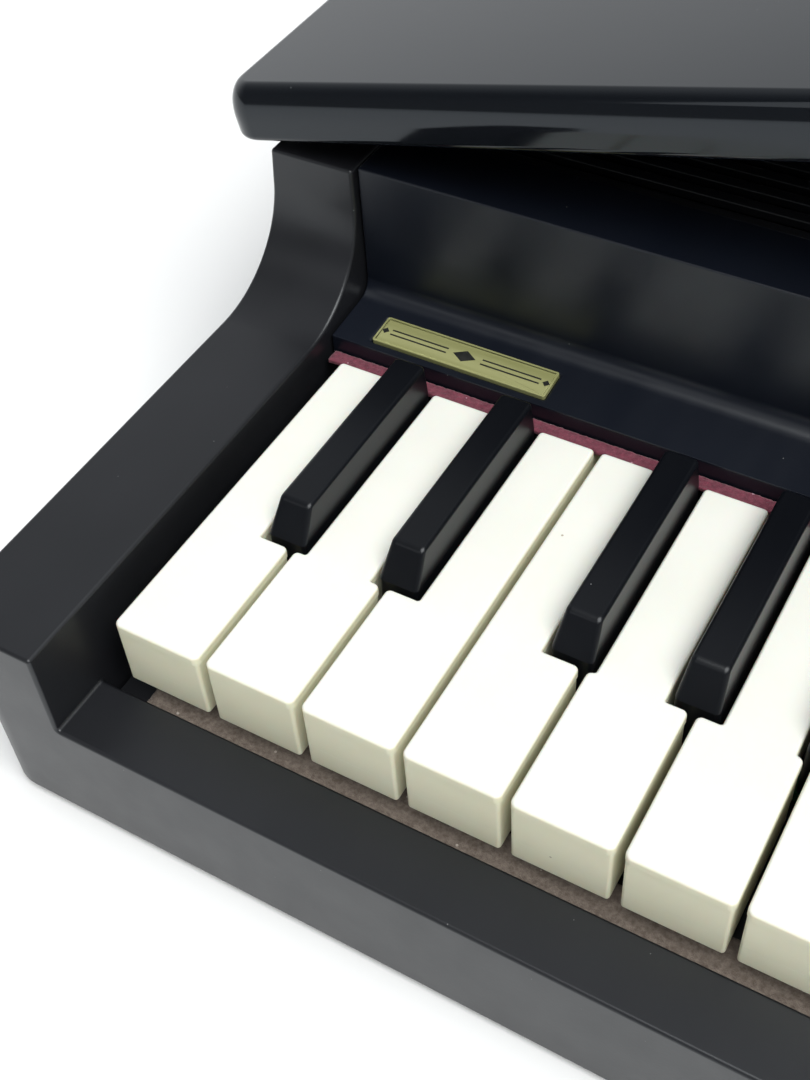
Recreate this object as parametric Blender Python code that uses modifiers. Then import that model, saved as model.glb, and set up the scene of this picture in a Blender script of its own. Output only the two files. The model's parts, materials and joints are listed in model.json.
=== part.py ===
"""Table-top miniature grand piano: an electronic mini grand with sixty-one narrow keys.

Frame: metres, +Z up, +Y from the player towards the tail, +X towards the treble end. The origin is on
the table surface, at the middle of the case's width and of the whole depth. The lid rests half open.
"""

import math

import bmesh
import bpy
from mathutils import Matrix, Vector

MM = 0.001
GAP = 0.3 * MM
WELD = 0.01 * MM

# Keyboard. Its datum is the front top edge of the white keys.
PITCH = 14.5 * MM
WHITE_COUNT = 36
KEYBOARD_HALF = WHITE_COUNT * PITCH / 2
KEY_Y = -192.4 * MM
KEY_Z = 34.5 * MM
WHITE_WIDTH = 13.4 * MM
WHITE_LENGTH = 57.4 * MM
WHITE_FRONT_HEIGHT = 11.9 * MM
WHITE_HEAD_LENGTH = 21.8 * MM
KEY_TAIL_DEPTH = 8.0 * MM
ARM_TOP = -2.0 * MM
NOTCH_HALF = 3.7 * MM
BLACK_FRONT = 22.6 * MM
BLACK_BASE_WIDTH = 6.0 * MM
BLACK_TOP_WIDTH = 4.9 * MM
BLACK_SLOPE = 3.3 * MM
BLACK_HEIGHT = 4.9 * MM
BLACK_BOTTOM = -9.0 * MM
BLACK_ARM_TOP = -4.0 * MM
STEP_BACK = 86.0 * MM
KEY_BACK = 100.0 * MM
HINGE_BACK = 97.0 * MM
HINGE_DROP = -6.0 * MM
RAIL_MARGIN = 0.1 * MM
RAIL_FRONT = 90.5 * MM
RAIL_BACK = 99.5 * MM
RAIL_LEVELS = {"outer": (-5.0 * MM, -2.0 * MM), "inner": (-8.8 * MM, -5.8 * MM),
               "black": (-12.4 * MM, -9.4 * MM)}
NOTE_NAMES = ("c", "d", "e", "f", "g", "a", "b")
OUTER_NOTES = ("c", "e", "g", "b")
INNER_NOTES = ("d", "f", "a")
BLACK_CENTRES = {"c_sharp": 0.90, "d_sharp": 2.11, "f_sharp": 3.85, "g_sharp": 5.00, "a_sharp": 6.15}
BLACK_SIDES = {"c": (None, "c_sharp"), "d": ("c_sharp", "d_sharp"), "e": ("d_sharp", None),
               "f": (None, "f_sharp"), "g": ("f_sharp", "g_sharp"), "a": ("g_sharp", "a_sharp"),
               "b": ("a_sharp", None)}
OCTAVES = 5

# Case
CASE_HALF = 280.2 * MM
CASE_FRONT = -204.0 * MM
CASE_DEPTH = 404.2 * MM
CASE_BOTTOM = 1.5 * MM
RIM_TOP = KEY_Z + 24.8 * MM
FLANGE = 9.0 * MM
WALL = 3.0 * MM
FRONT_CORNER = 6.0 * MM
CHEEK_INNER = KEYBOARD_HALF + 3.2 * MM
CHEEK_TOP = KEY_Z + 2.75 * MM
CHEEK_CURVE = 15.5 * MM
SLIP_TOP = KEY_Z - 12.5 * MM
SLIP_BACK = KEY_Y - 1.7 * MM
FACE_Y = KEY_Y + 71.5 * MM
BAND_BACK = KEY_Y + 83.5 * MM
SIDE_RADIUS = 110.0 * MM
WAIST_RADIUS = 170.0 * MM
TAIL_RADIUS = 90.0 * MM
CORNER_RADIUS = 60.0 * MM
SIDE_TURN = math.radians(65)
WAIST_TURN = math.radians(20)
ARC_STEP = math.radians(9)
CUT_CLEAR = 10.0 * MM
CHEEK_FACE_Y = FACE_Y - 1.15 * MM
RIM_LEAN = 1.8 * MM
JACK_X = -150.0 * MM
POWER_JACK_X = -120.0 * MM
JACK_Z = 22.0 * MM
JACK_HOLE_RADIUS = 4.0 * MM

# Fallboard and its plate
LIP_Y = KEY_Y + 60.3 * MM
LIP_Z = KEY_Z + 1.75 * MM
COVE_Z = KEY_Z + 2.7 * MM
COVE_RADIUS = 2.8 * MM
LIP_DROP = 1.6 * MM
FALLBOARD_THICK = 2.4 * MM
FALLBOARD_BEVEL = 1.0 * MM
PLATE_CENTRE_X = -KEYBOARD_HALF + 18.15 * MM
PLATE_SIZE = Vector((29.1 * MM, 5.3 * MM, 0.6 * MM))
PLATE_SUNK = 0.2 * MM
PLATE_BACK = 4.05 * MM

# Panels inside the rim
DECK_TOP = RIM_TOP - 14.0 * MM
DECK_THICK = 2.0 * MM
DECK_INSET = WALL + RIM_LEAN / 2 + GAP
GRILLE_TOP = RIM_TOP - 0.5 * MM
PANEL_THICK = 1.5 * MM
GRILLE_BACK = KEY_Y + 148.0 * MM
PANEL_SPLIT = 184.0 * MM
PANEL_HALF = CASE_HALF - FLANGE - 1.5 * MM
SLOT_PITCH = 3.8 * MM
SLOT_WIDTH = 1.9 * MM
SLOT_ROWS = 16
SLOT_RUNS = 3
SLOT_WEB = 4.0 * MM
SLOT_MARGIN = 8.0 * MM
FIRST_SLOT = 2.1 * MM
RISER_THICK = 1.9 * MM

# Controls
CONTROL_Y = (BAND_BACK + GRILLE_BACK) / 2
KNOB_SPOT = (206.0 * MM, CONTROL_Y + 10 * MM)
KNOB_RADIUS = 9.0 * MM
KNOB_SHAFT = 3.0 * MM
KNOB_LIFT = 0.6 * MM
KNOB_HEIGHT = 4.4 * MM
BUTTON_SPOTS = {"power_button": (248.0 * MM, CONTROL_Y + 16 * MM),
                "tone_button": (200.0 * MM, CONTROL_Y - 14 * MM),
                "song_button": (222.0 * MM, CONTROL_Y - 14 * MM),
                "play_button": (244.0 * MM, CONTROL_Y - 14 * MM)}
BUTTON_RADIUS = 4.2 * MM
LED_SPOT = (232.0 * MM, CONTROL_Y + 16 * MM)
LED_RADIUS = 1.5 * MM
SPEAKER_X = 140.0 * MM

# Lid and its stay. The lid is modelled closed and turned open about its hinge.
LID_OVERHANG = 5.0 * MM
LID_FRONT = KEY_Y + 69.6 * MM
LID_LOW = RIM_TOP + 0.4 * MM
LID_THICK = 8.5 * MM
LID_RECESS = 5.5 * MM
LID_SKIRT = 12.0 * MM
LID_CORNER = 7.0 * MM
LID_OPEN = math.radians(13.3)
LID_AXIS_X = -CASE_HALF - 1.9 * MM
LID_AXIS_Z = RIM_TOP - 0.5 * MM
HINGE_RADIUS = 1.6 * MM
PIN_RADIUS = 0.8 * MM
HINGE_START = -60.0 * MM
KNUCKLE = 40.0 * MM
KNUCKLES = 5
LEAF_THICK = 0.8 * MM
LEAF_WIDTH = 9.0 * MM
LEAF_HEIGHT = 12.0 * MM
LEAF_POCKET = LEAF_THICK + GAP
STAY_X = 40.0 * MM
STAY_Y = -32.0 * MM
STAY_PIVOT_Z = DECK_TOP + 4.2 * MM
STAY_LEAN = math.radians(35)
STAY_RADIUS = 2.5 * MM
STAY_WIDTH = 4.0 * MM
STAY_HEEL = 3.2 * MM
STAY_PIN = 1.2 * MM
EAR_THICK = 1.4 * MM
TRACK_THICK = 1.0 * MM
TRACK_CLEAR = 0.8 * MM
TRACK_HALF = 15.0 * MM
TRACK_RIM = 1.8 * MM
TRACK_SHIFT = 9.0 * MM

# Base
BASE_THICK = 2.5 * MM
FOOT_RADIUS = 7.0 * MM
FOOT_HEIGHT = 2.0 * MM
FOOT_SPOTS = {"front_left": (-245, -182), "front_right": (245, -182), "rear_left": (-225, 150),
              "rear_right": (45, 165)}
BAY_CENTRE = Vector((-120.0 * MM, 60.0 * MM, 0.0))
BAY_SIZE = Vector((89.0 * MM, 54.0 * MM, 17.5 * MM))
BAY_WALL = 1.5 * MM
DOOR_TRAVEL = 10.0 * MM
DOOR_THICK = 1.2 * MM

scene = bpy.context.scene
for leftover in list(bpy.data.objects):
    bpy.data.objects.remove(leftover, do_unlink=True)
parts = bpy.data.collections.new("miniature_grand_piano")
cutters = bpy.data.collections.new("cutters")
scene.collection.children.link(parts)
scene.collection.children.link(cutters)


def material(name, color, roughness, metallic=0.0):
    made = bpy.data.materials.new(name)
    made.use_nodes = True
    made.diffuse_color = (*color, 1.0)
    shader = made.node_tree.nodes["Principled BSDF"]
    shader.inputs["Base Color"].default_value = (*color, 1.0)
    shader.inputs["Roughness"].default_value = roughness
    shader.inputs["Metallic"].default_value = metallic
    return made


SATIN_BLACK = material("case_black", (0.016, 0.018, 0.023), 0.42)
GLOSS_BLACK = material("lid_black", (0.012, 0.013, 0.016), 0.08)
IVORY = material("key_ivory", (0.83, 0.82, 0.74), 0.38)
KEY_BLACK = material("key_black", (0.012, 0.013, 0.017), 0.36)
RED_FELT = material("red_felt", (0.32, 0.05, 0.09), 0.95)
BROWN_FELT = material("brown_felt", (0.16, 0.11, 0.09), 0.95)
GOLD_PLATE = material("plate_gold", (0.40, 0.40, 0.17), 0.35, 0.6)
BOARD_GREEN = material("board_green", (0.03, 0.16, 0.07), 0.5)
CONTACT_RUBBER = material("contact_rubber", (0.16, 0.16, 0.17), 0.8)
FOOT_RUBBER = material("foot_rubber", (0.03, 0.03, 0.03), 0.85)
STEEL = material("steel", (0.55, 0.55, 0.56), 0.3, 1.0)
CELL = material("cell_sleeve", (0.10, 0.11, 0.14), 0.35, 0.4)
LED_GREEN = material("led_lens", (0.10, 0.45, 0.12), 0.2)
CONE = material("speaker_paper", (0.05, 0.05, 0.05), 0.8)


def add_object(name, mesh, finish=None, pivot=(0.0, 0.0, 0.0)):
    """Make an object from a mesh in world places, with its origin at pivot. No finish makes a cutter."""
    mesh.transform(Matrix.Translation(-Vector(pivot)))
    made = bpy.data.objects.new(name, mesh)
    made.location = pivot
    if finish is None:
        cutters.objects.link(made)
        made.hide_render = True
        made.display_type = "WIRE"
    else:
        mesh.materials.clear()
        mesh.materials.append(finish)
        parts.objects.link(made)
    return made


def mesh_from(build):
    """Run build on an empty bmesh and return the mesh, closed and facing out."""
    work = bmesh.new()
    build(work)
    bmesh.ops.recalc_face_normals(work, faces=work.faces)
    mesh = bpy.data.meshes.new("shape")
    work.to_mesh(mesh)
    work.free()
    return mesh


def put_box(work, low, high):
    low = Vector(low)
    size = Vector(high) - low
    place = Matrix.Translation(low + size / 2) @ Matrix.Diagonal((*size, 1.0))
    bmesh.ops.create_cube(work, size=1.0, matrix=place)


def boxes(*corners):
    """A mesh of separate boxes, each given by its low and high corner."""
    def build(work):
        for low, high in corners:
            put_box(work, low, high)
    return mesh_from(build)


def cylinders(radius, low, high, centres, sides=20):
    """Upright cylinders of one radius and height, each with flat ends."""
    def build(work):
        for x, y in centres:
            place = Matrix.Translation((x, y, (low + high) / 2))
            bmesh.ops.create_cone(work, cap_ends=True, segments=sides, radius1=radius, radius2=radius,
                                  depth=high - low, matrix=place)
    return mesh_from(build)


def prism(outlines, low, high, plane="XY"):
    """Extrude flat outlines, with holes as further outlines, between two heights across the plane."""
    curve = bpy.data.curves.new("outline", "CURVE")
    curve.dimensions = "2D"
    curve.fill_mode = "BOTH"
    curve.extrude = (high - low) / 2
    for outline in outlines:
        spline = curve.splines.new("POLY")
        spline.points.add(len(outline) - 1)
        for point, (across, along) in zip(spline.points, outline):
            point.co = (across, along, 0.0, 1.0)
        spline.use_cyclic_u = True
    source = bpy.data.objects.new("outline", curve)
    scene.collection.objects.link(source)
    middle = (low + high) / 2
    if plane == "YZ":
        source.matrix_world = Matrix(((0, 0, 1, middle), (1, 0, 0, 0), (0, 1, 0, 0), (0, 0, 0, 1)))
    elif plane == "XZ":
        source.matrix_world = Matrix(((1, 0, 0, 0), (0, 0, -1, middle), (0, 1, 0, 0), (0, 0, 0, 1)))
    else:
        source.matrix_world = Matrix.Translation((0, 0, middle))
    bpy.context.view_layer.update()
    mesh = bpy.data.meshes.new_from_object(source.evaluated_get(bpy.context.evaluated_depsgraph_get()))
    mesh.transform(source.matrix_world)
    bpy.data.objects.remove(source, do_unlink=True)
    work = bmesh.new()
    work.from_mesh(mesh)
    bmesh.ops.remove_doubles(work, verts=work.verts, dist=WELD)
    bmesh.ops.recalc_face_normals(work, faces=work.faces)
    work.to_mesh(mesh)
    work.free()
    return mesh


def rectangle(left, right, near, far):
    return [(left, near), (right, near), (right, far), (left, far)]


def circle(centre, radius, sides):
    turns = [2 * math.pi * i / sides for i in range(sides)]
    return [(centre[0] + radius * math.cos(turn), centre[1] + radius * math.sin(turn)) for turn in turns]


def lofted(levels):
    """A closed body through outlines of equal count, one at each height."""
    def build(work):
        rings = [[work.verts.new((x, y, height)) for x, y in outline] for height, outline in levels]
        for lower, upper in zip(rings, rings[1:]):
            for index in range(len(lower)):
                work.faces.new((lower[index - 1], lower[index], upper[index], upper[index - 1]))
        work.faces.new(rings[0])
        work.faces.new(rings[-1])
    return mesh_from(build)


def joined(meshes):
    """One mesh that holds several, as separate bodies."""
    def build(work):
        for mesh in meshes:
            work.from_mesh(mesh)
    return mesh_from(build)


def boolean(target, tool_mesh, operation, label):
    tool = add_object(f"{target.name}_{label}", tool_mesh, None, target.location)
    step = target.modifiers.new(label, "BOOLEAN")
    step.operation = operation
    step.solver = "EXACT"
    step.object = tool
    return tool


def turned(name, profile, finish, pivot, steps=20, tilt=None):
    """Turn a profile of radius and height round its own Z axis, then place it at pivot."""
    work = bmesh.new()
    verts = [work.verts.new((radius, 0.0, height)) for radius, height in profile]
    for first, second in zip(verts, verts[1:]):
        work.edges.new((first, second))
    mesh = bpy.data.meshes.new(name)
    work.to_mesh(mesh)
    work.free()
    made = add_object(name, mesh, finish)
    made.location = pivot
    if tilt:
        made.rotation_euler = tilt
    screw = made.modifiers.new("turn", "SCREW")
    screw.steps = steps
    screw.render_steps = steps
    screw.use_merge_vertices = True
    screw.merge_threshold = WELD
    screw.use_smooth_shade = True
    return made


def arc(centre, radius, start, end):
    """Points along an arc, both ends included."""
    count = max(2, math.ceil(abs(end - start) / ARC_STEP))
    turns = [start + (end - start) * i / count for i in range(count + 1)]
    return [(centre[0] + radius * math.cos(turn), centre[1] + radius * math.sin(turn)) for turn in turns]


def harp_sides(grow):
    """The case's outline from the treble side round the tail to the bass side, offset outward by grow."""
    back = CASE_FRONT + CASE_DEPTH
    side_y = (back - TAIL_RADIUS - (SIDE_RADIUS + WAIST_RADIUS) * math.sin(SIDE_TURN)
              + (WAIST_RADIUS + TAIL_RADIUS) * math.sin(WAIST_TURN))
    side = Vector((CASE_HALF - SIDE_RADIUS, side_y))
    waist = side + (SIDE_RADIUS + WAIST_RADIUS) * Vector((math.cos(SIDE_TURN), math.sin(SIDE_TURN)))
    tail = waist - (WAIST_RADIUS + TAIL_RADIUS) * Vector((math.cos(WAIST_TURN), math.sin(WAIST_TURN)))
    corner = (-CASE_HALF + CORNER_RADIUS, back - CORNER_RADIUS)
    points = arc(side, SIDE_RADIUS + grow, 0.0, SIDE_TURN)
    points += arc(waist, WAIST_RADIUS - grow, math.pi + SIDE_TURN, math.pi + WAIST_TURN)[1:]
    points += arc(tail, TAIL_RADIUS + grow, WAIST_TURN, math.pi / 2)[1:]
    points += arc(corner, CORNER_RADIUS + grow, math.pi / 2, math.pi)
    return points


def harp(grow, front, corner=0.0):
    """A closed harp outline that starts at the front line, with rounded front corners where asked."""
    half = CASE_HALF + grow
    if corner:
        left = arc((-half + corner, front + corner), corner, math.pi, 1.5 * math.pi)
        right = arc((half - corner, front + corner), corner, 1.5 * math.pi, 2 * math.pi)
        return harp_sides(grow) + left + right
    return harp_sides(grow) + [(-half, front), (half, front)]


def make_case_shell():
    """Rim, cheeks and key slip in one moulding, open below for the base plate."""
    outer = lofted([(CASE_BOTTOM, harp(0.0, CASE_FRONT, FRONT_CORNER)),
                    (CHEEK_TOP, harp(0.0, CASE_FRONT, FRONT_CORNER)),
                    (RIM_TOP, harp(-RIM_LEAN, CASE_FRONT, FRONT_CORNER))])
    shell = add_object("case_shell", outer, SATIN_BLACK)
    above = RIM_TOP + CUT_CLEAR
    below = CASE_BOTTOM - CUT_CLEAR
    before = CASE_FRONT - CUT_CLEAR
    reach = CASE_HALF + CUT_CLEAR
    bend = arc((CHEEK_FACE_Y - CHEEK_CURVE, CHEEK_TOP + CHEEK_CURVE), CHEEK_CURVE, -math.pi / 2, 0.0)
    outline = [(before, CHEEK_TOP)] + bend + [(CHEEK_FACE_Y, above), (before, above)]
    boolean(shell, prism([outline], -reach, reach, "YZ"), "DIFFERENCE", "cheek_curve")
    boolean(shell, boxes(((-CHEEK_INNER, SLIP_BACK, below), (CHEEK_INNER, BAND_BACK + GAP, above))),
            "DIFFERENCE", "key_well")
    boolean(shell, boxes(((-CHEEK_INNER, before, SLIP_TOP), (CHEEK_INNER, SLIP_BACK + 1 * MM, above))),
            "DIFFERENCE", "slip_top")
    inside_front = BAND_BACK - 4 * MM
    inside = lofted([(below, harp(-WALL, inside_front)), (CHEEK_TOP, harp(-WALL, inside_front)),
                     (RIM_TOP - WALL, harp(-WALL - RIM_LEAN, inside_front))])
    boolean(shell, inside, "DIFFERENCE", "inside")
    boolean(shell, prism([harp(-FLANGE, BAND_BACK - 1 * MM)], RIM_TOP - 2 * WALL, above), "DIFFERENCE",
            "rim_opening")
    back = CASE_FRONT + CASE_DEPTH
    holes = []
    for x in (JACK_X, POWER_JACK_X):
        hole = cylinders(JACK_HOLE_RADIUS, -WALL - 5 * MM, WALL + 5 * MM, [(0.0, 0.0)], 16)
        hole.transform(Matrix.Translation((x, back, JACK_Z)) @ Matrix.Rotation(math.pi / 2, 4, "X"))
        holes.append(hole)
    boolean(shell, joined(holes), "DIFFERENCE", "jack_holes")


def make_jacks():
    """Headphone and power sockets in the back wall, each a turned barrel with a blind bore."""
    back = CASE_FRONT + CASE_DEPTH
    for name, x, bore in (("headphone_jack", JACK_X, 1.8 * MM), ("power_jack", POWER_JACK_X, 2.7 * MM)):
        profile = [(0.0, -10 * MM), (bore, -10 * MM), (bore, 0.0), (3.6 * MM, 0.0), (3.6 * MM, -3.4 * MM),
                   (5.5 * MM, -3.4 * MM), (5.5 * MM, -13 * MM), (0.0, -13 * MM)]
        turned(name, profile, KEY_BLACK, (x, back, JACK_Z), 16, (-math.pi / 2, 0, 0))


def make_base():
    """Base plate with its battery bay, four rubber feet and the sliding bay cover."""
    half = CHEEK_INNER - GAP
    neck_back = BAND_BACK - 4 * MM + GAP
    front = SLIP_BACK + GAP
    base_top = CASE_BOTTOM + BASE_THICK
    plate = add_object("base_plate", prism([harp(-WALL - GAP, neck_back)], CASE_BOTTOM, base_top),
                       SATIN_BLACK)
    boolean(plate, boxes(((-half, front, CASE_BOTTOM), (half, neck_back + 5 * MM, base_top))), "UNION",
            "front")
    bay = BAY_SIZE / 2
    wall = Vector((BAY_WALL, BAY_WALL, 0.0))
    low = BAY_CENTRE - Vector((bay.x, bay.y, 0.0))
    high = BAY_CENTRE + Vector((bay.x, bay.y, 0.0))
    roof = Vector((0, 0, base_top + BAY_SIZE.z))
    boolean(plate, boxes((low - wall + Vector((0, 0, base_top - 1 * MM)), high + wall + roof)), "UNION",
            "bay")
    boolean(plate, boxes((low - Vector((0, 0, 5 * MM)), high + roof - Vector((0, 0, BAY_WALL)))),
            "DIFFERENCE", "bay_room")
    lip = Vector((3 * MM, 3 * MM, 0.0))
    recess_top = Vector((0, 0, CASE_BOTTOM + 1.7 * MM))
    boolean(plate, boxes((low - lip - Vector((GAP, GAP, 5 * MM)), high + lip + recess_top
                          + Vector((GAP, DOOR_TRAVEL + GAP, 0)))), "DIFFERENCE", "cover_recess")
    feet = [(x * MM, y * MM) for x, y in FOOT_SPOTS.values()]
    boolean(plate, cylinders(FOOT_RADIUS + GAP, -5 * MM, FOOT_HEIGHT + GAP, feet, 20), "DIFFERENCE",
            "foot_recess")
    for name, (x, y) in FOOT_SPOTS.items():
        foot = [(0.0, FOOT_HEIGHT), (FOOT_RADIUS, FOOT_HEIGHT), (FOOT_RADIUS, 0.4 * MM),
                (FOOT_RADIUS - 0.4 * MM, 0.0), (0.0, 0.0)]
        turned(f"foot_{name}", foot, FOOT_RUBBER, (x * MM, y * MM, 0.0), 16)
    door_low = low - lip + Vector((0, 0, CASE_BOTTOM + 0.2 * MM))
    door_high = high + lip + Vector((0, 0, CASE_BOTTOM + 0.2 * MM + DOOR_THICK))
    door = add_object("battery_cover", boxes((door_low, door_high)), SATIN_BLACK, BAY_CENTRE)
    grooves = []
    for row in range(4):
        y = door_low.y + (5 + 3 * row) * MM
        grooves.append(((BAY_CENTRE.x - 10 * MM, y, 0.0),
                        (BAY_CENTRE.x + 10 * MM, y + 1.2 * MM, door_low.z + 0.5 * MM)))
    boolean(door, boxes(*grooves), "DIFFERENCE", "grip")


def make_battery_pack():
    """Six cells side by side, joined by their touching sleeves."""
    radius = 7.1 * MM
    spacing = 14.0 * MM
    level = CASE_BOTTOM + BASE_THICK + 8.0 * MM
    half_length = 25.0 * MM
    def cell(index):
        mesh = cylinders(radius, -half_length, half_length, [(0.0, 0.0)], 12)
        mesh.transform(Matrix.Rotation(math.pi / 2, 4, "X"))
        mesh.transform(Matrix.Translation((BAY_CENTRE.x + (index - 2.5) * spacing, BAY_CENTRE.y, level)))
        return mesh
    pack = add_object("battery_pack", joined([cell(index) for index in (0, 2, 4)]), CELL)
    boolean(pack, joined([cell(index) for index in (1, 3, 5)]), "UNION", "other_cells")


def make_key_bed():
    """Bed under the keys with a front rail and a rear ledge, its contact strip and its felt."""
    side = CHEEK_INNER - GAP
    bed_profile = [(-1.2, -22.0), (103.0, -22.0), (103.0, -13.0), (88.0, -13.0), (88.0, -19.4),
                   (6.0, -19.4), (6.0, -17.5), (-1.2, -17.5)]
    outline = [(KEY_Y + y * MM, KEY_Z + z * MM) for y, z in bed_profile]
    add_object("key_bed", prism([outline], -side, side, "YZ"), SATIN_BLACK)
    strips = (("front_rail_felt", BROWN_FELT, (-0.5, 5.2), (-17.2, -16.2), 258.6 * MM),
              ("contact_board", BOARD_GREEN, (28.0, 52.0), (-19.1, -17.5), 258.0 * MM),
              ("contact_rubber_strip", CONTACT_RUBBER, (33.0, 47.0), (-17.2, -12.0), 257.0 * MM),
              ("nameboard_felt", RED_FELT, (57.7, 60.1), (-1.6, -0.8), CHEEK_INNER - 1.0 * MM),
              ("key_retainer", STEEL, (89.0, 101.0), (-1.5, -0.5), CHEEK_INNER - 2.0 * MM))
    for name, finish, (front, back), (bottom, top), half in strips:
        low = (-half, KEY_Y + front * MM, KEY_Z + bottom * MM)
        high = (half, KEY_Y + back * MM, KEY_Z + top * MM)
        add_object(name, boxes((low, high)), finish)


def white_body(left, right, level):
    """One white key from the side, with its arm down to the rail's level, extruded over its width."""
    low, high = RAIL_LEVELS[level]
    tail_low = min(-KEY_TAIL_DEPTH, low)
    outline = [(0.0, 0.0), (0.0, -WHITE_FRONT_HEIGHT), (WHITE_HEAD_LENGTH - 1 * MM, -WHITE_FRONT_HEIGHT),
               (WHITE_HEAD_LENGTH - 1 * MM, tail_low)]
    if low > tail_low:
        outline += [(STEP_BACK, tail_low), (STEP_BACK, low)]
    outline += [(KEY_BACK, low), (KEY_BACK, high)]
    if high < ARM_TOP:
        outline += [(STEP_BACK, high), (STEP_BACK, ARM_TOP)]
    outline += [(WHITE_LENGTH, ARM_TOP), (WHITE_LENGTH, 0.0)]
    return prism([[(KEY_Y + y, KEY_Z + z) for y, z in outline]], left, right, "YZ")


def black_body(centre):
    """One black key: a low body with its arm, and above it a tapered head with a sloping front."""
    low, high = RAIL_LEVELS["black"]
    outline = [(BLACK_FRONT, 0.0), (BLACK_FRONT, BLACK_BOTTOM), (WHITE_LENGTH, BLACK_BOTTOM),
               (WHITE_LENGTH, low), (KEY_BACK, low), (KEY_BACK, high), (STEP_BACK, high),
               (STEP_BACK, BLACK_ARM_TOP),
               (WHITE_LENGTH, BLACK_ARM_TOP), (WHITE_LENGTH, 0.0)]
    half = BLACK_BASE_WIDTH / 2
    mesh = prism([[(KEY_Y + y, KEY_Z + z) for y, z in outline]], centre - half, centre + half, "YZ")
    work = bmesh.new()
    work.from_mesh(mesh)
    top = [face for face in work.faces
           if face.normal.z > 0.9 and face.calc_center_median().z > KEY_Z - 0.5 * MM]
    raised = bmesh.ops.extrude_face_region(work, geom=top)["geom"]
    bmesh.ops.delete(work, geom=top, context="FACES")
    for vert in [item for item in raised if isinstance(item, bmesh.types.BMVert)]:
        vert.co.z += BLACK_HEIGHT
        vert.co.x = centre + (vert.co.x - centre) * BLACK_TOP_WIDTH / BLACK_BASE_WIDTH
        if vert.co.y < KEY_Y + BLACK_FRONT + 1 * MM:
            vert.co.y += BLACK_SLOPE
    bmesh.ops.recalc_face_normals(work, faces=work.faces)
    work.to_mesh(mesh)
    work.free()
    return mesh


def octave_left(octave):
    return -KEYBOARD_HALF + octave * 7 * PITCH


def black_centre(octave, note):
    return octave_left(octave) + BLACK_CENTRES[note] * PITCH


def make_keys(name, whites, blacks, level):
    """One moulding of white or black keys. Two keys or more are joined by a rail at its own level."""
    bodies = []
    notches = []
    spans = []
    for octave, note in whites:
        left = octave_left(octave) + NOTE_NAMES.index(note) * PITCH + (PITCH - WHITE_WIDTH) / 2
        right = left + WHITE_WIDTH
        bodies.append(white_body(left, right, level))
        low_black, high_black = BLACK_SIDES[note] if octave < OCTAVES else (None, None)
        tail_left, tail_right = left, right
        behind = (KEY_Y + KEY_BACK + 1 * MM, KEY_Z + 1 * MM)
        before = (KEY_Y + WHITE_HEAD_LENGTH, KEY_Z - 20 * MM)
        if low_black:
            tail_left = black_centre(octave, low_black) + NOTCH_HALF
            notches.append(((left - 0.5 * MM, *before), (tail_left, *behind)))
        if high_black:
            tail_right = black_centre(octave, high_black) - NOTCH_HALF
            notches.append(((tail_right, *before), (right + 0.5 * MM, *behind)))
        spans += [tail_left, tail_right]
    for octave, note in blacks:
        centre = black_centre(octave, note)
        bodies.append(black_body(centre))
        spans += [centre - BLACK_BASE_WIDTH / 2, centre + BLACK_BASE_WIDTH / 2]
    pivot = ((min(spans) + max(spans)) / 2, KEY_Y + HINGE_BACK, KEY_Z + HINGE_DROP)
    moulding = add_object(name, joined(bodies), IVORY if whites else KEY_BLACK, pivot)
    if notches:
        boolean(moulding, boxes(*notches), "DIFFERENCE", "notches")
    if len(bodies) > 1:
        low, high = RAIL_LEVELS[level]
        boolean(moulding, boxes(((min(spans) + RAIL_MARGIN, KEY_Y + RAIL_FRONT, KEY_Z + low + RAIL_MARGIN),
                                 (max(spans) - RAIL_MARGIN, KEY_Y + RAIL_BACK,
                                  KEY_Z + high - RAIL_MARGIN))),
                "UNION", "rail")


def make_keyboard():
    """The lowest octave key by key, and each higher octave as two white mouldings and a black one."""
    for note in NOTE_NAMES:
        make_keys(f"key_{note}1", [(0, note)], [], "outer" if note in OUTER_NOTES else "inner")
    for note in BLACK_CENTRES:
        make_keys(f"key_{note}1", [], [(0, note)], "black")
    for octave in range(1, OCTAVES):
        outer = [(octave, note) for note in OUTER_NOTES]
        if octave == OCTAVES - 1:
            outer.append((OCTAVES, "c"))
        make_keys(f"keys_outer_octave_{octave + 1}", outer, [], "outer")
        make_keys(f"keys_inner_octave_{octave + 1}", [(octave, note) for note in INNER_NOTES], [], "inner")
        make_keys(f"keys_black_octave_{octave + 1}", [], [(octave, note) for note in BLACK_CENTRES],
                  "black")


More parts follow.
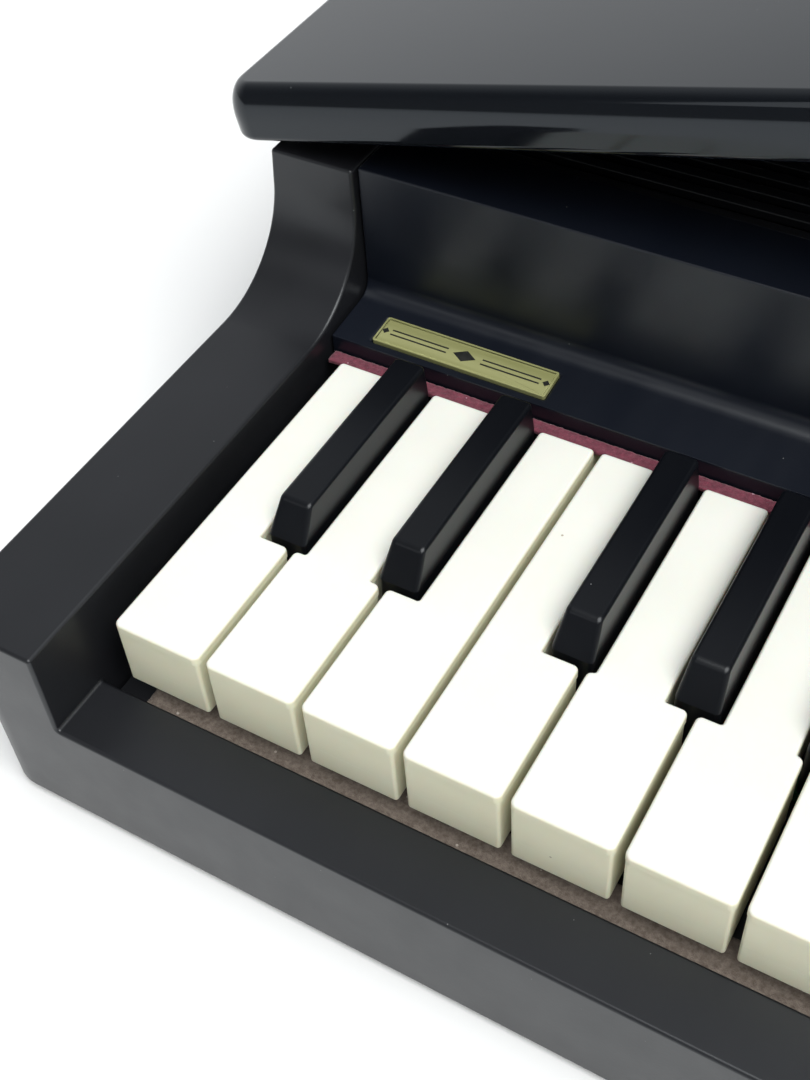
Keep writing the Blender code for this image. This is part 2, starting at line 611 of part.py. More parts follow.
def make_fallboard():
    """Board behind the keys: a shallow shelf, a coved upright and a flat top band, with its name plate."""
    slope = math.atan2(COVE_Z - LIP_Z, FACE_Y - LIP_Y)
    reach = COVE_RADIUS * math.tan((math.pi / 2 - slope) / 2)
    centre = (FACE_Y - COVE_RADIUS, COVE_Z + reach)
    cove = arc(centre, COVE_RADIUS, -math.pi / 2 + slope, 0.0)
    under = KEY_Z - LIP_DROP
    outline = [(LIP_Y, under), (LIP_Y, LIP_Z)] + cove
    outline += [(FACE_Y, RIM_TOP - FALLBOARD_BEVEL), (FACE_Y + FALLBOARD_BEVEL, RIM_TOP),
                (BAND_BACK, RIM_TOP), (BAND_BACK, RIM_TOP - FALLBOARD_THICK),
                (FACE_Y + FALLBOARD_THICK, RIM_TOP - FALLBOARD_THICK),
                (FACE_Y + FALLBOARD_THICK, under)]
    side = CHEEK_INNER - GAP
    board = add_object("fallboard", prism([outline], -side, side, "YZ"), SATIN_BLACK)
    foot = Vector((PLATE_CENTRE_X, LIP_Y + PLATE_BACK * math.cos(slope),
                   LIP_Z + PLATE_BACK * math.sin(slope)))
    lay = Matrix.Translation(foot) @ Matrix.Rotation(slope, 4, "X")
    half = PLATE_SIZE / 2
    recess = boxes(((-half.x - GAP, -half.y - GAP, -0.5 * MM), (half.x + GAP, half.y + GAP, 2 * MM)))
    recess.transform(lay)
    boolean(board, recess, "DIFFERENCE", "plate_recess")
    plate_low = (-half.x, -half.y, -PLATE_SUNK)
    plate_high = (half.x, half.y, PLATE_SIZE.z - PLATE_SUNK)
    plate = add_object("name_plate", boxes((plate_low, plate_high)), GOLD_PLATE)
    plate.matrix_world = lay


def slot_rows(left, right):
    """Rectangular slots for a panel, in rows parallel to the fallboard and runs between webs."""
    run = (right - left - (SLOT_RUNS - 1) * SLOT_WEB) / SLOT_RUNS
    found = []
    for row in range(SLOT_ROWS):
        near = BAND_BACK + FIRST_SLOT + row * SLOT_PITCH
        for index in range(SLOT_RUNS):
            start = left + index * (run + SLOT_WEB)
            found.append(rectangle(start, start + run, near, near + SLOT_WIDTH))
    return found


def make_panels():
    """Slotted speaker grille, control panel, and the low deck behind them."""
    near = BAND_BACK + GAP
    low = GRILLE_TOP - PANEL_THICK
    grille = rectangle(-PANEL_HALF, PANEL_SPLIT - GAP, near, GRILLE_BACK)
    slots = slot_rows(-PANEL_HALF + SLOT_MARGIN, PANEL_SPLIT - SLOT_MARGIN)
    add_object("speaker_grille", prism([grille] + slots, low, GRILLE_TOP), SATIN_BLACK)
    holes = [circle(KNOB_SPOT, KNOB_SHAFT + GAP, 16), circle(LED_SPOT, LED_RADIUS + GAP, 12)]
    holes += [circle(spot, BUTTON_RADIUS + GAP, 16) for spot in BUTTON_SPOTS.values()]
    panel = rectangle(PANEL_SPLIT, PANEL_HALF, near, GRILLE_BACK)
    add_object("control_panel", prism([panel] + holes, low, GRILLE_TOP), SATIN_BLACK)
    deck_front = GRILLE_BACK + GAP
    deck = add_object("top_deck", prism([harp(-DECK_INSET, BAND_BACK)], DECK_TOP - DECK_THICK, DECK_TOP),
                      SATIN_BLACK)
    front = boxes(((-CASE_HALF, CASE_FRONT, DECK_TOP - 2 * DECK_THICK), (CASE_HALF, deck_front, RIM_TOP)))
    boolean(deck, front, "DIFFERENCE", "front")
    wide = CASE_HALF - FLANGE - 4 * MM
    riser_front = deck_front + 0.1 * MM
    riser = boxes(((-wide, riser_front, DECK_TOP - DECK_THICK / 2),
                   (wide, riser_front + RISER_THICK, GRILLE_TOP)))
    boolean(deck, riser, "UNION", "riser")


def make_controls():
    """Knob, buttons and light of the control panel, with the circuit board under them."""
    knob_low = GRILLE_TOP + KNOB_LIFT
    shaft_low = GRILLE_TOP - 6 * MM
    profile = [(0.0, KNOB_HEIGHT), (KNOB_RADIUS - 1.6 * MM, KNOB_HEIGHT),
               (KNOB_RADIUS - 0.7 * MM, KNOB_HEIGHT - 0.7 * MM),
               (KNOB_RADIUS, 0.0), (KNOB_SHAFT, 0.0), (KNOB_SHAFT, shaft_low - knob_low),
               (0.0, shaft_low - knob_low)]
    knob = turned("volume_knob", profile, KEY_BLACK, (*KNOB_SPOT, knob_low), 24)
    mark = boxes(((KNOB_SPOT[0] - 0.5 * MM, KNOB_SPOT[1] + 3 * MM, knob_low + KNOB_HEIGHT - 0.6 * MM),
                  (KNOB_SPOT[0] + 0.5 * MM, KNOB_SPOT[1] + KNOB_RADIUS + 1 * MM, knob_low + 7 * MM)))
    boolean(knob, mark, "DIFFERENCE", "pointer")
    for name, (x, y) in BUTTON_SPOTS.items():
        cap = [(0.0, 1.2 * MM), (BUTTON_RADIUS - 0.5 * MM, 1.2 * MM), (BUTTON_RADIUS, 0.8 * MM),
               (BUTTON_RADIUS, -5.5 * MM), (0.0, -5.5 * MM)]
        turned(name, cap, KEY_BLACK, (x, y, GRILLE_TOP), 16)
    lens = [(0.0, 0.9 * MM), (0.8 * LED_RADIUS, 0.6 * MM), (LED_RADIUS, 0.0), (LED_RADIUS, -4 * MM),
            (0.0, -4 * MM)]
    turned("power_light", lens, LED_GREEN, (*LED_SPOT, GRILLE_TOP), 12)
    board_top = GRILLE_TOP - 9 * MM
    board = boxes(((PANEL_SPLIT + 4 * MM, BAND_BACK + 6 * MM, board_top - 1.6 * MM),
                   (CASE_HALF - FLANGE - 4 * MM, GRILLE_BACK - 6 * MM, board_top)))
    add_object("main_board", board, BOARD_GREEN)


def make_speakers():
    """Two small speakers face up under the grille."""
    profile = [(0.0, -6.0), (7.0, -4.6), (9.0, -7.0), (22.0, -1.4), (23.0, 0.0), (25.0, 0.0),
               (25.0, -2.0), (22.0, -3.0), (14.0, -11.0), (14.0, -17.0), (0.0, -17.0)]
    face = GRILLE_TOP - PANEL_THICK - GAP
    for name, x in (("speaker_left", -SPEAKER_X), ("speaker_right", SPEAKER_X)):
        turned(name, [(r * MM, z * MM) for r, z in profile], CONE,
               (x, (BAND_BACK + GRILLE_BACK) / 2, face), 16)


def knuckle_ring(bore):
    """A hinge knuckle's outline in X and Z, round the hinge axis, with a hole where it turns on the pin."""
    centre = (LID_AXIS_X, LID_AXIS_Z)
    rings = [circle(centre, HINGE_RADIUS, 12)]
    if bore:
        rings.append(circle(centre, bore, 12))
    return rings


def make_lid():
    """Lid with a hollow underside, its hinge leaf and the stay's track, all turned open about the hinge."""
    pivot = Vector((LID_AXIS_X, 0.0, LID_AXIS_Z))
    hinge = bpy.data.objects.new("lid_pivot", None)
    hinge.location = pivot
    hinge.rotation_euler = (0.0, -LID_OPEN, 0.0)
    scene.collection.objects.link(hinge)
    panel = prism([harp(LID_OVERHANG, LID_FRONT, LID_CORNER)], LID_LOW, LID_LOW + LID_THICK)
    lid = add_object("lid", panel, GLOSS_BLACK, pivot)
    recess = boolean(lid, prism([harp(LID_OVERHANG - LID_SKIRT, LID_FRONT + LID_SKIRT)], LID_LOW - 5 * MM,
                                LID_LOW + LID_RECESS), "DIFFERENCE", "recess")
    leaf_low = LID_LOW
    leaf_end = HINGE_START + KNUCKLES * KNUCKLE
    strip = boxes(((LID_AXIS_X, HINGE_START, leaf_low),
                   (LID_AXIS_X + LEAF_WIDTH, leaf_end, leaf_low + LEAF_THICK)))
    leaf = add_object("hinge_leaf_lid", strip, STEEL, pivot)
    pocket = boolean(lid, boxes(((-CASE_HALF - 2 * LID_OVERHANG, HINGE_START - GAP, LID_LOW - 1 * MM),
                                 (LID_AXIS_X + LEAF_WIDTH + GAP, leaf_end + GAP, LID_LOW + LEAF_POCKET))),
                     "DIFFERENCE", "hinge_pocket")
    moving = []
    cleared = []
    for index in range(KNUCKLES):
        start = HINGE_START + index * KNUCKLE
        if index % 2:
            moving.append(prism(knuckle_ring(PIN_RADIUS + 0.1 * MM), start + GAP, start + KNUCKLE - GAP,
                                "XZ"))
        else:
            cleared.append(((LID_AXIS_X - 3 * MM, start - GAP, leaf_low - 5 * MM),
                            (LID_AXIS_X + 2.2 * MM, start + KNUCKLE + GAP, leaf_low + 5 * MM)))
    keep = boolean(leaf, boxes(*cleared), "DIFFERENCE", "knuckle_room")
    rings = boolean(leaf, joined(moving), "UNION", "knuckles")
    ceiling = LID_LOW + LID_RECESS
    track_mid = LID_AXIS_X + (STAY_X - LID_AXIS_X) * math.cos(LID_OPEN) + TRACK_SHIFT
    width = TRACK_HALF
    rim = TRACK_RIM
    top = ceiling - GAP
    section = [(track_mid - width, top), (track_mid - width, top - TRACK_THICK - rim),
               (track_mid - width + rim, top - TRACK_THICK - rim),
               (track_mid - width + rim, top - TRACK_THICK),
               (track_mid + width - rim, top - TRACK_THICK),
               (track_mid + width - rim, top - TRACK_THICK - rim),
               (track_mid + width, top - TRACK_THICK - rim), (track_mid + width, top)]
    reach = stay_length()
    track = add_object("stay_track", prism([section], STAY_Y + reach * math.cos(STAY_LEAN) - 12 * MM,
                                           STAY_Y + reach + 8 * MM, "XZ"), STEEL, pivot)
    for piece in (lid, recess, pocket, leaf, keep, rings, track):
        piece.parent = hinge
        piece.location = (0.0, 0.0, 0.0)


def stay_length():
    """Length between the stay's pivot and the middle of its round tip, which meets the track at rest."""
    drop = (GAP + TRACK_THICK + TRACK_CLEAR + STAY_RADIUS) - LID_RECESS - (LID_LOW - LID_AXIS_Z)
    height = LID_AXIS_Z + (STAY_X - LID_AXIS_X) * math.tan(LID_OPEN) - drop / math.cos(LID_OPEN)
    return (height - STAY_PIVOT_Z) / math.sin(STAY_LEAN)


def make_hinge_and_stay():
    """The hinge's case leaf with its pin, the lid stay, and the bracket that the stay turns on."""
    leaf_end = HINGE_START + KNUCKLES * KNUCKLE
    wall = -CASE_HALF - GAP
    low = LID_AXIS_Z - LEAF_HEIGHT
    high = LID_AXIS_Z - GAP
    lean = RIM_LEAN / (RIM_TOP - CHEEK_TOP)
    section = [(wall - LEAF_THICK, low), (wall + lean * (low - CHEEK_TOP), low),
               (wall + lean * (high - CHEEK_TOP), high), (wall - LEAF_THICK, high)]
    leaf = add_object("hinge_leaf_case", prism([section], HINGE_START, leaf_end, "XZ"), STEEL,
                      (LID_AXIS_X, 0.0, LID_AXIS_Z))
    room = []
    fixed = []
    for index in range(KNUCKLES):
        start = HINGE_START + index * KNUCKLE
        if index % 2:
            room.append(((LID_AXIS_X - 3 * MM, start - GAP, LID_AXIS_Z - 2.2 * MM),
                         (LID_AXIS_X + 3 * MM, start + KNUCKLE + GAP, LID_AXIS_Z + 3 * MM)))
        else:
            fixed.append(prism(knuckle_ring(0.0), start + GAP, start + KNUCKLE - GAP, "XZ"))
    boolean(leaf, boxes(*room), "DIFFERENCE", "knuckle_room")
    boolean(leaf, joined(fixed), "UNION", "knuckles")
    pin = [circle((LID_AXIS_X, LID_AXIS_Z), PIN_RADIUS, 12)]
    boolean(leaf, prism(pin, HINGE_START + 1 * MM, leaf_end - 1 * MM, "XZ"), "UNION", "pin")

    pivot = Vector((STAY_X, STAY_Y, STAY_PIVOT_Z))
    reach = stay_length()
    heel = arc((0.0, 0.0), STAY_HEEL, math.radians(130), math.radians(230))
    tip = arc((reach, 0.0), STAY_RADIUS, -math.pi / 2, math.pi / 2)
    outline = heel + [(0.0, -STAY_HEEL), (4 * MM, -STAY_RADIUS)] + tip
    outline += [(4 * MM, STAY_RADIUS), (0.0, STAY_HEEL)]
    bore = circle((0.0, 0.0), STAY_PIN + GAP, 12)
    stay_mesh = prism([outline, bore], STAY_X - STAY_WIDTH / 2, STAY_X + STAY_WIDTH / 2, "YZ")
    turn = Matrix.Rotation(STAY_LEAN, 4, "X")
    stay_mesh.transform(Matrix.Translation((0, pivot.y, pivot.z)) @ turn)
    add_object("lid_stay", stay_mesh, STEEL, pivot)

    ear = STAY_WIDTH / 2 + GAP
    deck = DECK_TOP + GAP
    near = STAY_Y - 4.5 * MM
    far = STAY_Y + 4.5 * MM
    base = boxes(((STAY_X - 12 * MM, near, deck), (STAY_X + 12 * MM, far, deck + 0.6 * MM)))
    bracket = add_object("stay_bracket", base, STEEL)
    ears = []
    for low_x in (STAY_X - ear - EAR_THICK, STAY_X + ear):
        ears.append(((low_x, near + 0.5 * MM, deck + 0.3 * MM),
                     (low_x + EAR_THICK, far - 0.5 * MM, pivot.z + STAY_HEEL)))
    boolean(bracket, boxes(*ears), "UNION", "ears")
    pin = [circle((STAY_Y, pivot.z), STAY_PIN, 12)]
    boolean(bracket, prism(pin, STAY_X - ear - 0.9 * MM, STAY_X + ear + 0.9 * MM, "YZ"), "UNION", "pin")


make_case_shell()
make_jacks()
make_base()
make_battery_pack()
make_key_bed()
make_keyboard()
make_fallboard()
make_panels()
make_controls()
make_speakers()
make_lid()
make_hinge_and_stay()
bpy.context.view_layer.update()
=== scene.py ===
"""Looks of the table-top miniature grand piano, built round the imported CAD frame.

Metres, +Z up, +Y from the player towards the tail, +X towards the treble end. Sizes of visible
pieces are read from the frame where a CAD node gives them, and the rest are named below.
"""

import json
import math

import bmesh
import bpy
from mathutils import Matrix, Vector, noise


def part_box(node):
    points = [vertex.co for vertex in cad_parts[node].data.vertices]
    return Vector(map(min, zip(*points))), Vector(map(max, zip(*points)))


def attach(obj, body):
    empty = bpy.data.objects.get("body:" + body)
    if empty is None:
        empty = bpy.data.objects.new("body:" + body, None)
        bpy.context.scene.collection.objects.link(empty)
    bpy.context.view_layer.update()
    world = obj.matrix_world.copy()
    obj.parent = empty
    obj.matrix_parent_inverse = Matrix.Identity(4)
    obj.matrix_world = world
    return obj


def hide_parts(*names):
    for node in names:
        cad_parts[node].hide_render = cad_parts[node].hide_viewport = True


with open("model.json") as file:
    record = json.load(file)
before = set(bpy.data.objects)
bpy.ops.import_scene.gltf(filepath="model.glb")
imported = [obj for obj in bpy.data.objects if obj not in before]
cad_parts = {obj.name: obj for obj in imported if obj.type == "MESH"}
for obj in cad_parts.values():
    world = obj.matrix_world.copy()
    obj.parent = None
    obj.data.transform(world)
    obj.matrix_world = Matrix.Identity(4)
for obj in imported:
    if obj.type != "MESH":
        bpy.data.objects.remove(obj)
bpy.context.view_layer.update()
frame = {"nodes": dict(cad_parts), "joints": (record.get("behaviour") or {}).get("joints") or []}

MM = 0.001
GAP = 0.3 * MM
FINE_ARC = math.radians(3)

# Keyboard datum: the front top edge of the lowest white key
KEY_LOW, KEY_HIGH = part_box("key_c1")
WHITE_WIDTH = KEY_HIGH.x - KEY_LOW.x
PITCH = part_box("key_d1")[0].x - KEY_LOW.x
KEY_LEFT = KEY_LOW.x - (PITCH - WHITE_WIDTH) / 2
KEY_FRONT = KEY_LOW.y
KEY_TOP = KEY_HIGH.z
OCTAVES = 5
WHITE_LENGTH = 57.4 * MM
HEAD_LENGTH = 21.8 * MM
FRONT_HEIGHT = KEY_HIGH.z - KEY_LOW.z
TAIL_DEPTH = 8.0 * MM
NOTCH_HALF = 3.7 * MM
SLAB = 1.5 * MM
SLAB_LIP = 0.15 * MM
BODY_CORNER = 0.5 * MM
BLACK_FRONT = 22.6 * MM
BLACK_WIDTH = 6.0 * MM
BLACK_TOP_WIDTH = 4.9 * MM
BLACK_SLOPE = 3.3 * MM
BLACK_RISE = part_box("key_c_sharp1")[1].z - KEY_TOP
BLACK_BOTTOM = -9.0 * MM
STEP_BACK = 86.0 * MM
KEY_BACK = 100.0 * MM
NOTE_NAMES = ("c", "d", "e", "f", "g", "a", "b")
OUTER_NOTES = ("c", "e", "g", "b")
BLACK_CENTRES = {"c_sharp": 0.90, "d_sharp": 2.11, "f_sharp": 3.85, "g_sharp": 5.00, "a_sharp": 6.15}
BLACK_SIDES = {"c": (None, "c_sharp"), "d": ("c_sharp", "d_sharp"), "e": ("d_sharp", None),
               "f": (None, "f_sharp"), "g": ("f_sharp", "g_sharp"), "a": ("g_sharp", "a_sharp"),
               "b": ("a_sharp", None)}
ARM_LEVELS = {"outer": (-5.0 * MM, -2.0 * MM), "inner": (-8.8 * MM, -5.8 * MM),
              "black": (-12.4 * MM, -9.4 * MM)}
WHITE_ARM_TOP = -2.0 * MM
BLACK_ARM_TOP = -4.0 * MM
ARM_CLEARANCE = 0.3 * MM
RAIL_FRONT = 90.5 * MM
RAIL_BACK = 99.5 * MM
RAIL_MARGIN = 0.1 * MM
WHITE_EDGE = 0.5 * MM
BLACK_EDGE = 0.6 * MM
BLACK_CORNER = 0.75 * MM
SEAM = 0.01 * MM

# Case
CASE_LOW, CASE_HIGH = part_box("case_shell")
CASE_HALF = CASE_HIGH.x
CASE_FRONT = CASE_LOW.y
CASE_BACK = CASE_HIGH.y
CASE_BOTTOM = CASE_LOW.z
RIM_TOP = CASE_HIGH.z
FLANGE = 9.0 * MM
WALL = 3.0 * MM
FRONT_CORNER = 6.0 * MM
JACK_RADIUS = 4.0 * MM
BOARD_LOW, BOARD_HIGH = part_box("fallboard")
CHEEK_INNER = BOARD_HIGH.x + GAP
CHEEK_TOP = KEY_TOP + 2.75 * MM
CHEEK_CURVE = 15.5 * MM
RIM_LEAN = 1.8 * MM
SLIP_TOP = KEY_TOP - 12.5 * MM
SLIP_BACK = KEY_FRONT - 1.7 * MM
FACE_Y = KEY_FRONT + 71.5 * MM
CHEEK_FACE_Y = FACE_Y - 1.15 * MM
BAND_BACK = BOARD_HIGH.y
SIDE_RADIUS = 110.0 * MM
WAIST_RADIUS = 170.0 * MM
TAIL_RADIUS = 90.0 * MM
CORNER_RADIUS = 60.0 * MM
SIDE_TURN = math.radians(65)
WAIST_TURN = math.radians(20)

# Lid, at its place when closed
LID_JOINT = next(joint for joint in frame["joints"] if joint["child"] == "lid")
LID_AXIS = Vector(LID_JOINT["pos_m"])
HINGE_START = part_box("hinge_leaf_case")[0].y
HINGE_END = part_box("hinge_leaf_case")[1].y
LEAF_WIDTH = 9.0 * MM
LEAF_POCKET = 1.1 * MM
LID_OPEN = math.radians(-LID_JOINT["range_deg"][0])
LID_OVERHANG = 5.0 * MM
LID_FRONT = KEY_FRONT + 69.6 * MM
LID_LOW = RIM_TOP + 0.4 * MM
LID_THICK = 8.5 * MM
LID_RECESS = 5.5 * MM
LID_SKIRT = 12.0 * MM
LID_CORNER = 5.2 * MM
LID_NOSE_HEIGHT = 5.2 * MM
LID_NOSE_DEPTH = 3.0 * MM
LID_LOWER_ROUND = 1.2 * MM

# Camera
CAMERA_PLACE = Vector((-0.1608, -0.27215, 0.1813))
CAMERA_AZIMUTH = math.radians(33.52)
CAMERA_ELEVATION = math.radians(48.09)
CAMERA_ROLL = math.radians(-4.84)
CAMERA_LENS = 48.576
CAMERA_SENSOR = 36.0

# Sky brightness against the sine of the height above the horizon
SKY_LEVELS = ((0.001, 0.74), (0.30, 0.66), (0.60, 0.34), (0.999, 0.34))
SKY_BACK = 1.5
SKY_FRONT = 0.22


# ---------------------------------------------------------------- materials

class Nodes:
    """A small helper that adds and links shader nodes of one material."""

    def __init__(self, name):
        self.material = bpy.data.materials.new(name)
        self.material.use_nodes = True
        self.tree = self.material.node_tree
        self.shader = self.tree.nodes["Principled BSDF"]
        self.coords = self.add("ShaderNodeTexCoord").outputs["Object"]

    def add(self, kind, **settings):
        node = self.tree.nodes.new(kind)
        for key, value in settings.items():
            setattr(node, key, value)
        return node

    def link(self, source, target):
        self.tree.links.new(source, target)

    def set(self, **values):
        for key, value in values.items():
            self.shader.inputs[key.replace("_", " ")].default_value = value

    def noise(self, scale, detail=3.0, stretch=(1, 1, 1), roughness=0.5):
        mapping = self.add("ShaderNodeMapping")
        mapping.inputs["Scale"].default_value = stretch
        self.link(self.coords, mapping.inputs["Vector"])
        texture = self.add("ShaderNodeTexNoise")
        texture.inputs["Scale"].default_value = scale
        texture.inputs["Detail"].default_value = detail
        texture.inputs["Roughness"].default_value = roughness
        self.link(mapping.outputs["Vector"], texture.inputs["Vector"])
        return texture.outputs["Fac"]

    def specks(self, scale, size, share):
        """Sparse dots: 1 inside a dot and 0 elsewhere. share is the part of the cells that hold one."""
        texture = self.add("ShaderNodeTexVoronoi")
        texture.inputs["Scale"].default_value = scale
        self.link(self.coords, texture.inputs["Vector"])
        near = self.math("LESS_THAN", texture.outputs["Distance"], size)
        pick = self.add("ShaderNodeSeparateColor")
        self.link(texture.outputs["Color"], pick.inputs["Color"])
        chosen = self.math("LESS_THAN", pick.outputs["Red"], share)
        return self.math("MULTIPLY", near, chosen)

    def math(self, operation, first, second):
        node = self.add("ShaderNodeMath", operation=operation)
        for socket, value in zip(node.inputs, (first, second)):
            if isinstance(value, (int, float)):
                socket.default_value = value
            else:
                self.link(value, socket)
        return node.outputs["Value"]

    def ramp(self, factor, low, high, start=0.0, end=1.0):
        node = self.add("ShaderNodeMapRange")
        node.inputs["From Min"].default_value = start
        node.inputs["From Max"].default_value = end
        node.inputs["To Min"].default_value = low
        node.inputs["To Max"].default_value = high
        self.link(factor, node.inputs["Value"])
        return node.outputs["Result"]

    def mix(self, factor, first, second):
        node = self.add("ShaderNodeMix", data_type="RGBA")
        self.link(factor, node.inputs["Factor"])
        for socket, value in ((node.inputs[6], first), (node.inputs[7], second)):
            if isinstance(value, tuple):
                socket.default_value = (*value, 1.0)
            else:
                self.link(value, socket)
        return node.outputs[2]

    def bump(self, height, distance, strength=1.0, below=None):
        node = self.add("ShaderNodeBump")
        node.inputs["Distance"].default_value = distance
        node.inputs["Strength"].default_value = strength
        self.link(height, node.inputs["Height"])
        if below is not None:
            self.link(below, node.inputs["Normal"])
        self.link(node.outputs["Normal"], self.shader.inputs["Normal"])
        return node.outputs["Normal"]


def moulded_black(name, color, rough_low, rough_high, dust, gloss=0.5, grain=0.000006):
    """Black moulded plastic: fine grain, faint rubbed streaks in the gloss and a few dust specks."""
    made = Nodes(name)
    blotch = made.noise(35.0, 4.0)
    streak = made.noise(160.0, 4.0, (1.0, 0.12, 1.0))
    shade = made.mix(made.ramp(blotch, 0.0, 1.0, 0.35, 0.65), color, tuple(c * 1.35 for c in color))
    if dust:
        dots = made.specks(620.0, 0.05, dust)
        shade = made.mix(dots, shade, (0.16, 0.165, 0.17))
    made.link(shade, made.shader.inputs["Base Color"])
    made.link(made.ramp(streak, rough_low, rough_high, 0.3, 0.7), made.shader.inputs["Roughness"])
    made.set(Specular_Tint=(0.92, 0.96, 1.0, 1.0), Specular_IOR_Level=gloss)
    made.bump(made.noise(1800.0, 2.0), grain, 1.0)
    return made.material


def polished_black():
    made = Nodes("lid_polished_black")
    streak = made.noise(90.0, 5.0, (0.25, 1.0, 1.0))
    dots = made.specks(500.0, 0.035, 0.04)
    made.link(made.mix(dots, (0.004, 0.005, 0.007), (0.14, 0.15, 0.155)), made.shader.inputs["Base Color"])
    made.link(made.ramp(streak, 0.07, 0.13, 0.35, 0.65), made.shader.inputs["Roughness"])
    made.set(Specular_Tint=(0.84, 0.92, 1.0, 1.0))
    made.bump(made.noise(28.0, 2.0), 0.00003, 0.5)
    return made.material


def key_ivory():
    """Warm white key plastic, a little translucent, with tiny specks; the fronts and sides are painted darker
    and yellower than the tops, a painted shade.
    """
    made = Nodes("key_ivory")
    cloud = made.noise(60.0, 4.0)
    facing = made.add("ShaderNodeSeparateXYZ")
    made.link(made.add("ShaderNodeNewGeometry").outputs["Normal"], facing.inputs["Vector"])
    # painted shade: the mask is 1 on upward faces and 0 on fronts and sides, chosen by the surface normal
    lit_top_mask = made.ramp(facing.outputs["Z"], 0.0, 1.0, 0.25, 0.85)
    share = made.ramp(cloud, 0.0, 1.0, 0.3, 0.7)
    # painted shade: fronts and sides get a darker, yellower ivory, and the tops get the lighter lit colour
    body = made.mix(lit_top_mask, made.mix(share, (0.715, 0.70, 0.53), (0.76, 0.745, 0.58)),
                    made.mix(share, (0.80, 0.81, 0.755), (0.84, 0.85, 0.80)))
    dots = made.specks(330.0, 0.055, 0.03)
    made.link(made.mix(dots, body, (0.42, 0.38, 0.30)), made.shader.inputs["Base Color"])
    rubbed = made.noise(140.0, 4.0, (1.0, 0.3, 1.0))
    made.link(made.ramp(rubbed, 0.30, 0.44, 0.3, 0.7), made.shader.inputs["Roughness"])
    made.set(Subsurface_Weight=0.12, Subsurface_Scale=0.002)
    made.bump(made.noise(900.0, 2.0), 0.000008, 1.0)
    return made.material


def felt(name, dark, light, fleck, fleck_share):
    """Pressed felt: mottled fibres, a soft sheen and pale lint."""
    made = Nodes(name)
    mottle = made.noise(1500.0, 6.0, roughness=0.7)
    body = made.mix(made.ramp(mottle, 0.0, 1.0, 0.35, 0.65), dark, light)
    dots = made.specks(1100.0, 0.22, fleck_share)
    made.link(made.mix(dots, body, fleck), made.shader.inputs["Base Color"])
    made.set(Roughness=0.95, Sheen_Weight=0.15, Sheen_Roughness=0.5)
    made.bump(made.noise(2600.0, 5.0, roughness=0.75), 0.00025, 0.9)
    return made.material


def plate_gold():
    made = Nodes("plate_gold")
    grain = made.noise(500.0, 3.0, (0.05, 1.0, 1.0))
    made.link(made.mix(made.ramp(grain, 0.0, 1.0, 0.3, 0.7), (0.36, 0.37, 0.15), (0.46, 0.47, 0.22)),
              made.shader.inputs["Base Color"])
    made.link(made.ramp(grain, 0.38, 0.50, 0.3, 0.7), made.shader.inputs["Roughness"])
    made.set(Metallic=0.45)
    made.bump(grain, 0.00001, 0.6)
    return made.material


def brushed_steel():
    made = Nodes("plated_steel")
    brush = made.noise(700.0, 3.0, (1.0, 0.04, 1.0))
    made.link(made.mix(brush, (0.45, 0.45, 0.46), (0.62, 0.62, 0.63)), made.shader.inputs["Base Color"])
    made.link(made.ramp(brush, 0.24, 0.42, 0.3, 0.7), made.shader.inputs["Roughness"])
    made.set(Metallic=1.0)
    made.bump(brush, 0.00001, 0.5)
    return made.material


def rough_matter(name, dark, light, rough_low, rough_high, scale, depth):
    """Rubber, paper, circuit board and other plain matter, with mottling at its own scale."""
    made = Nodes(name)
    mottle = made.noise(scale, 5.0)
    shade = made.mix(made.ramp(mottle, 0.0, 1.0, 0.35, 0.65), dark, light)
    made.link(shade, made.shader.inputs["Base Color"])
    made.link(made.ramp(mottle, rough_low, rough_high, 0.3, 0.7), made.shader.inputs["Roughness"])
    made.bump(made.noise(scale * 3, 3.0), depth, 1.0)
    return made.material


CASE_BLACK = moulded_black("case_satin_black", (0.008, 0.0085, 0.0105), 0.34, 0.39, 0.06)
BOARD_BLACK = moulded_black("fallboard_satin_black", (0.004, 0.0055, 0.010), 0.30, 0.38, 0.02)
KEY_BLACK = moulded_black("key_satin_black", (0.002, 0.0025, 0.004), 0.30, 0.37, 0.05, 0.36)
CONTROL_BLACK = moulded_black("control_black", (0.020, 0.020, 0.022), 0.36, 0.50, 0.0, 0.5, 0.00001)
LID_BLACK = polished_black()
IVORY = key_ivory()
RED_FELT = felt("crimson_felt", (0.10, 0.014, 0.032), (0.21, 0.040, 0.070), (0.50, 0.28, 0.35), 0.04)
BROWN_FELT = felt("brown_felt", (0.13, 0.100, 0.080), (0.27, 0.225, 0.190), (0.50, 0.45, 0.40), 0.05)
GOLD = plate_gold()
STEEL = brushed_steel()
FOOT_RUBBER = rough_matter("foot_rubber", (0.020, 0.020, 0.021), (0.035, 0.035, 0.036),
                           0.75, 0.9, 300.0, 0.00004)
GREY_RUBBER = rough_matter("contact_rubber", (0.13, 0.13, 0.14), (0.18, 0.18, 0.19),
                           0.7, 0.85, 300.0, 0.00003)
CONE_PAPER = rough_matter("cone_paper", (0.030, 0.030, 0.031), (0.055, 0.055, 0.056), 0.7, 0.9, 500.0, 0.0001)
BOARD_GREEN = rough_matter("board_green", (0.016, 0.11, 0.05), (0.03, 0.17, 0.08), 0.35, 0.5, 120.0, 0.00002)
SLEEVE = rough_matter("cell_sleeve", (0.08, 0.09, 0.12), (0.11, 0.12, 0.15), 0.3, 0.4, 60.0, 0.00001)
LENS_GREEN = rough_matter("lens_green", (0.08, 0.42, 0.10), (0.11, 0.50, 0.14), 0.12, 0.2, 400.0, 0.00001)
PRINT_GREY = rough_matter("printed_mark", (0.48, 0.48, 0.46), (0.56, 0.56, 0.54), 0.5, 0.6, 900.0, 0.000004)
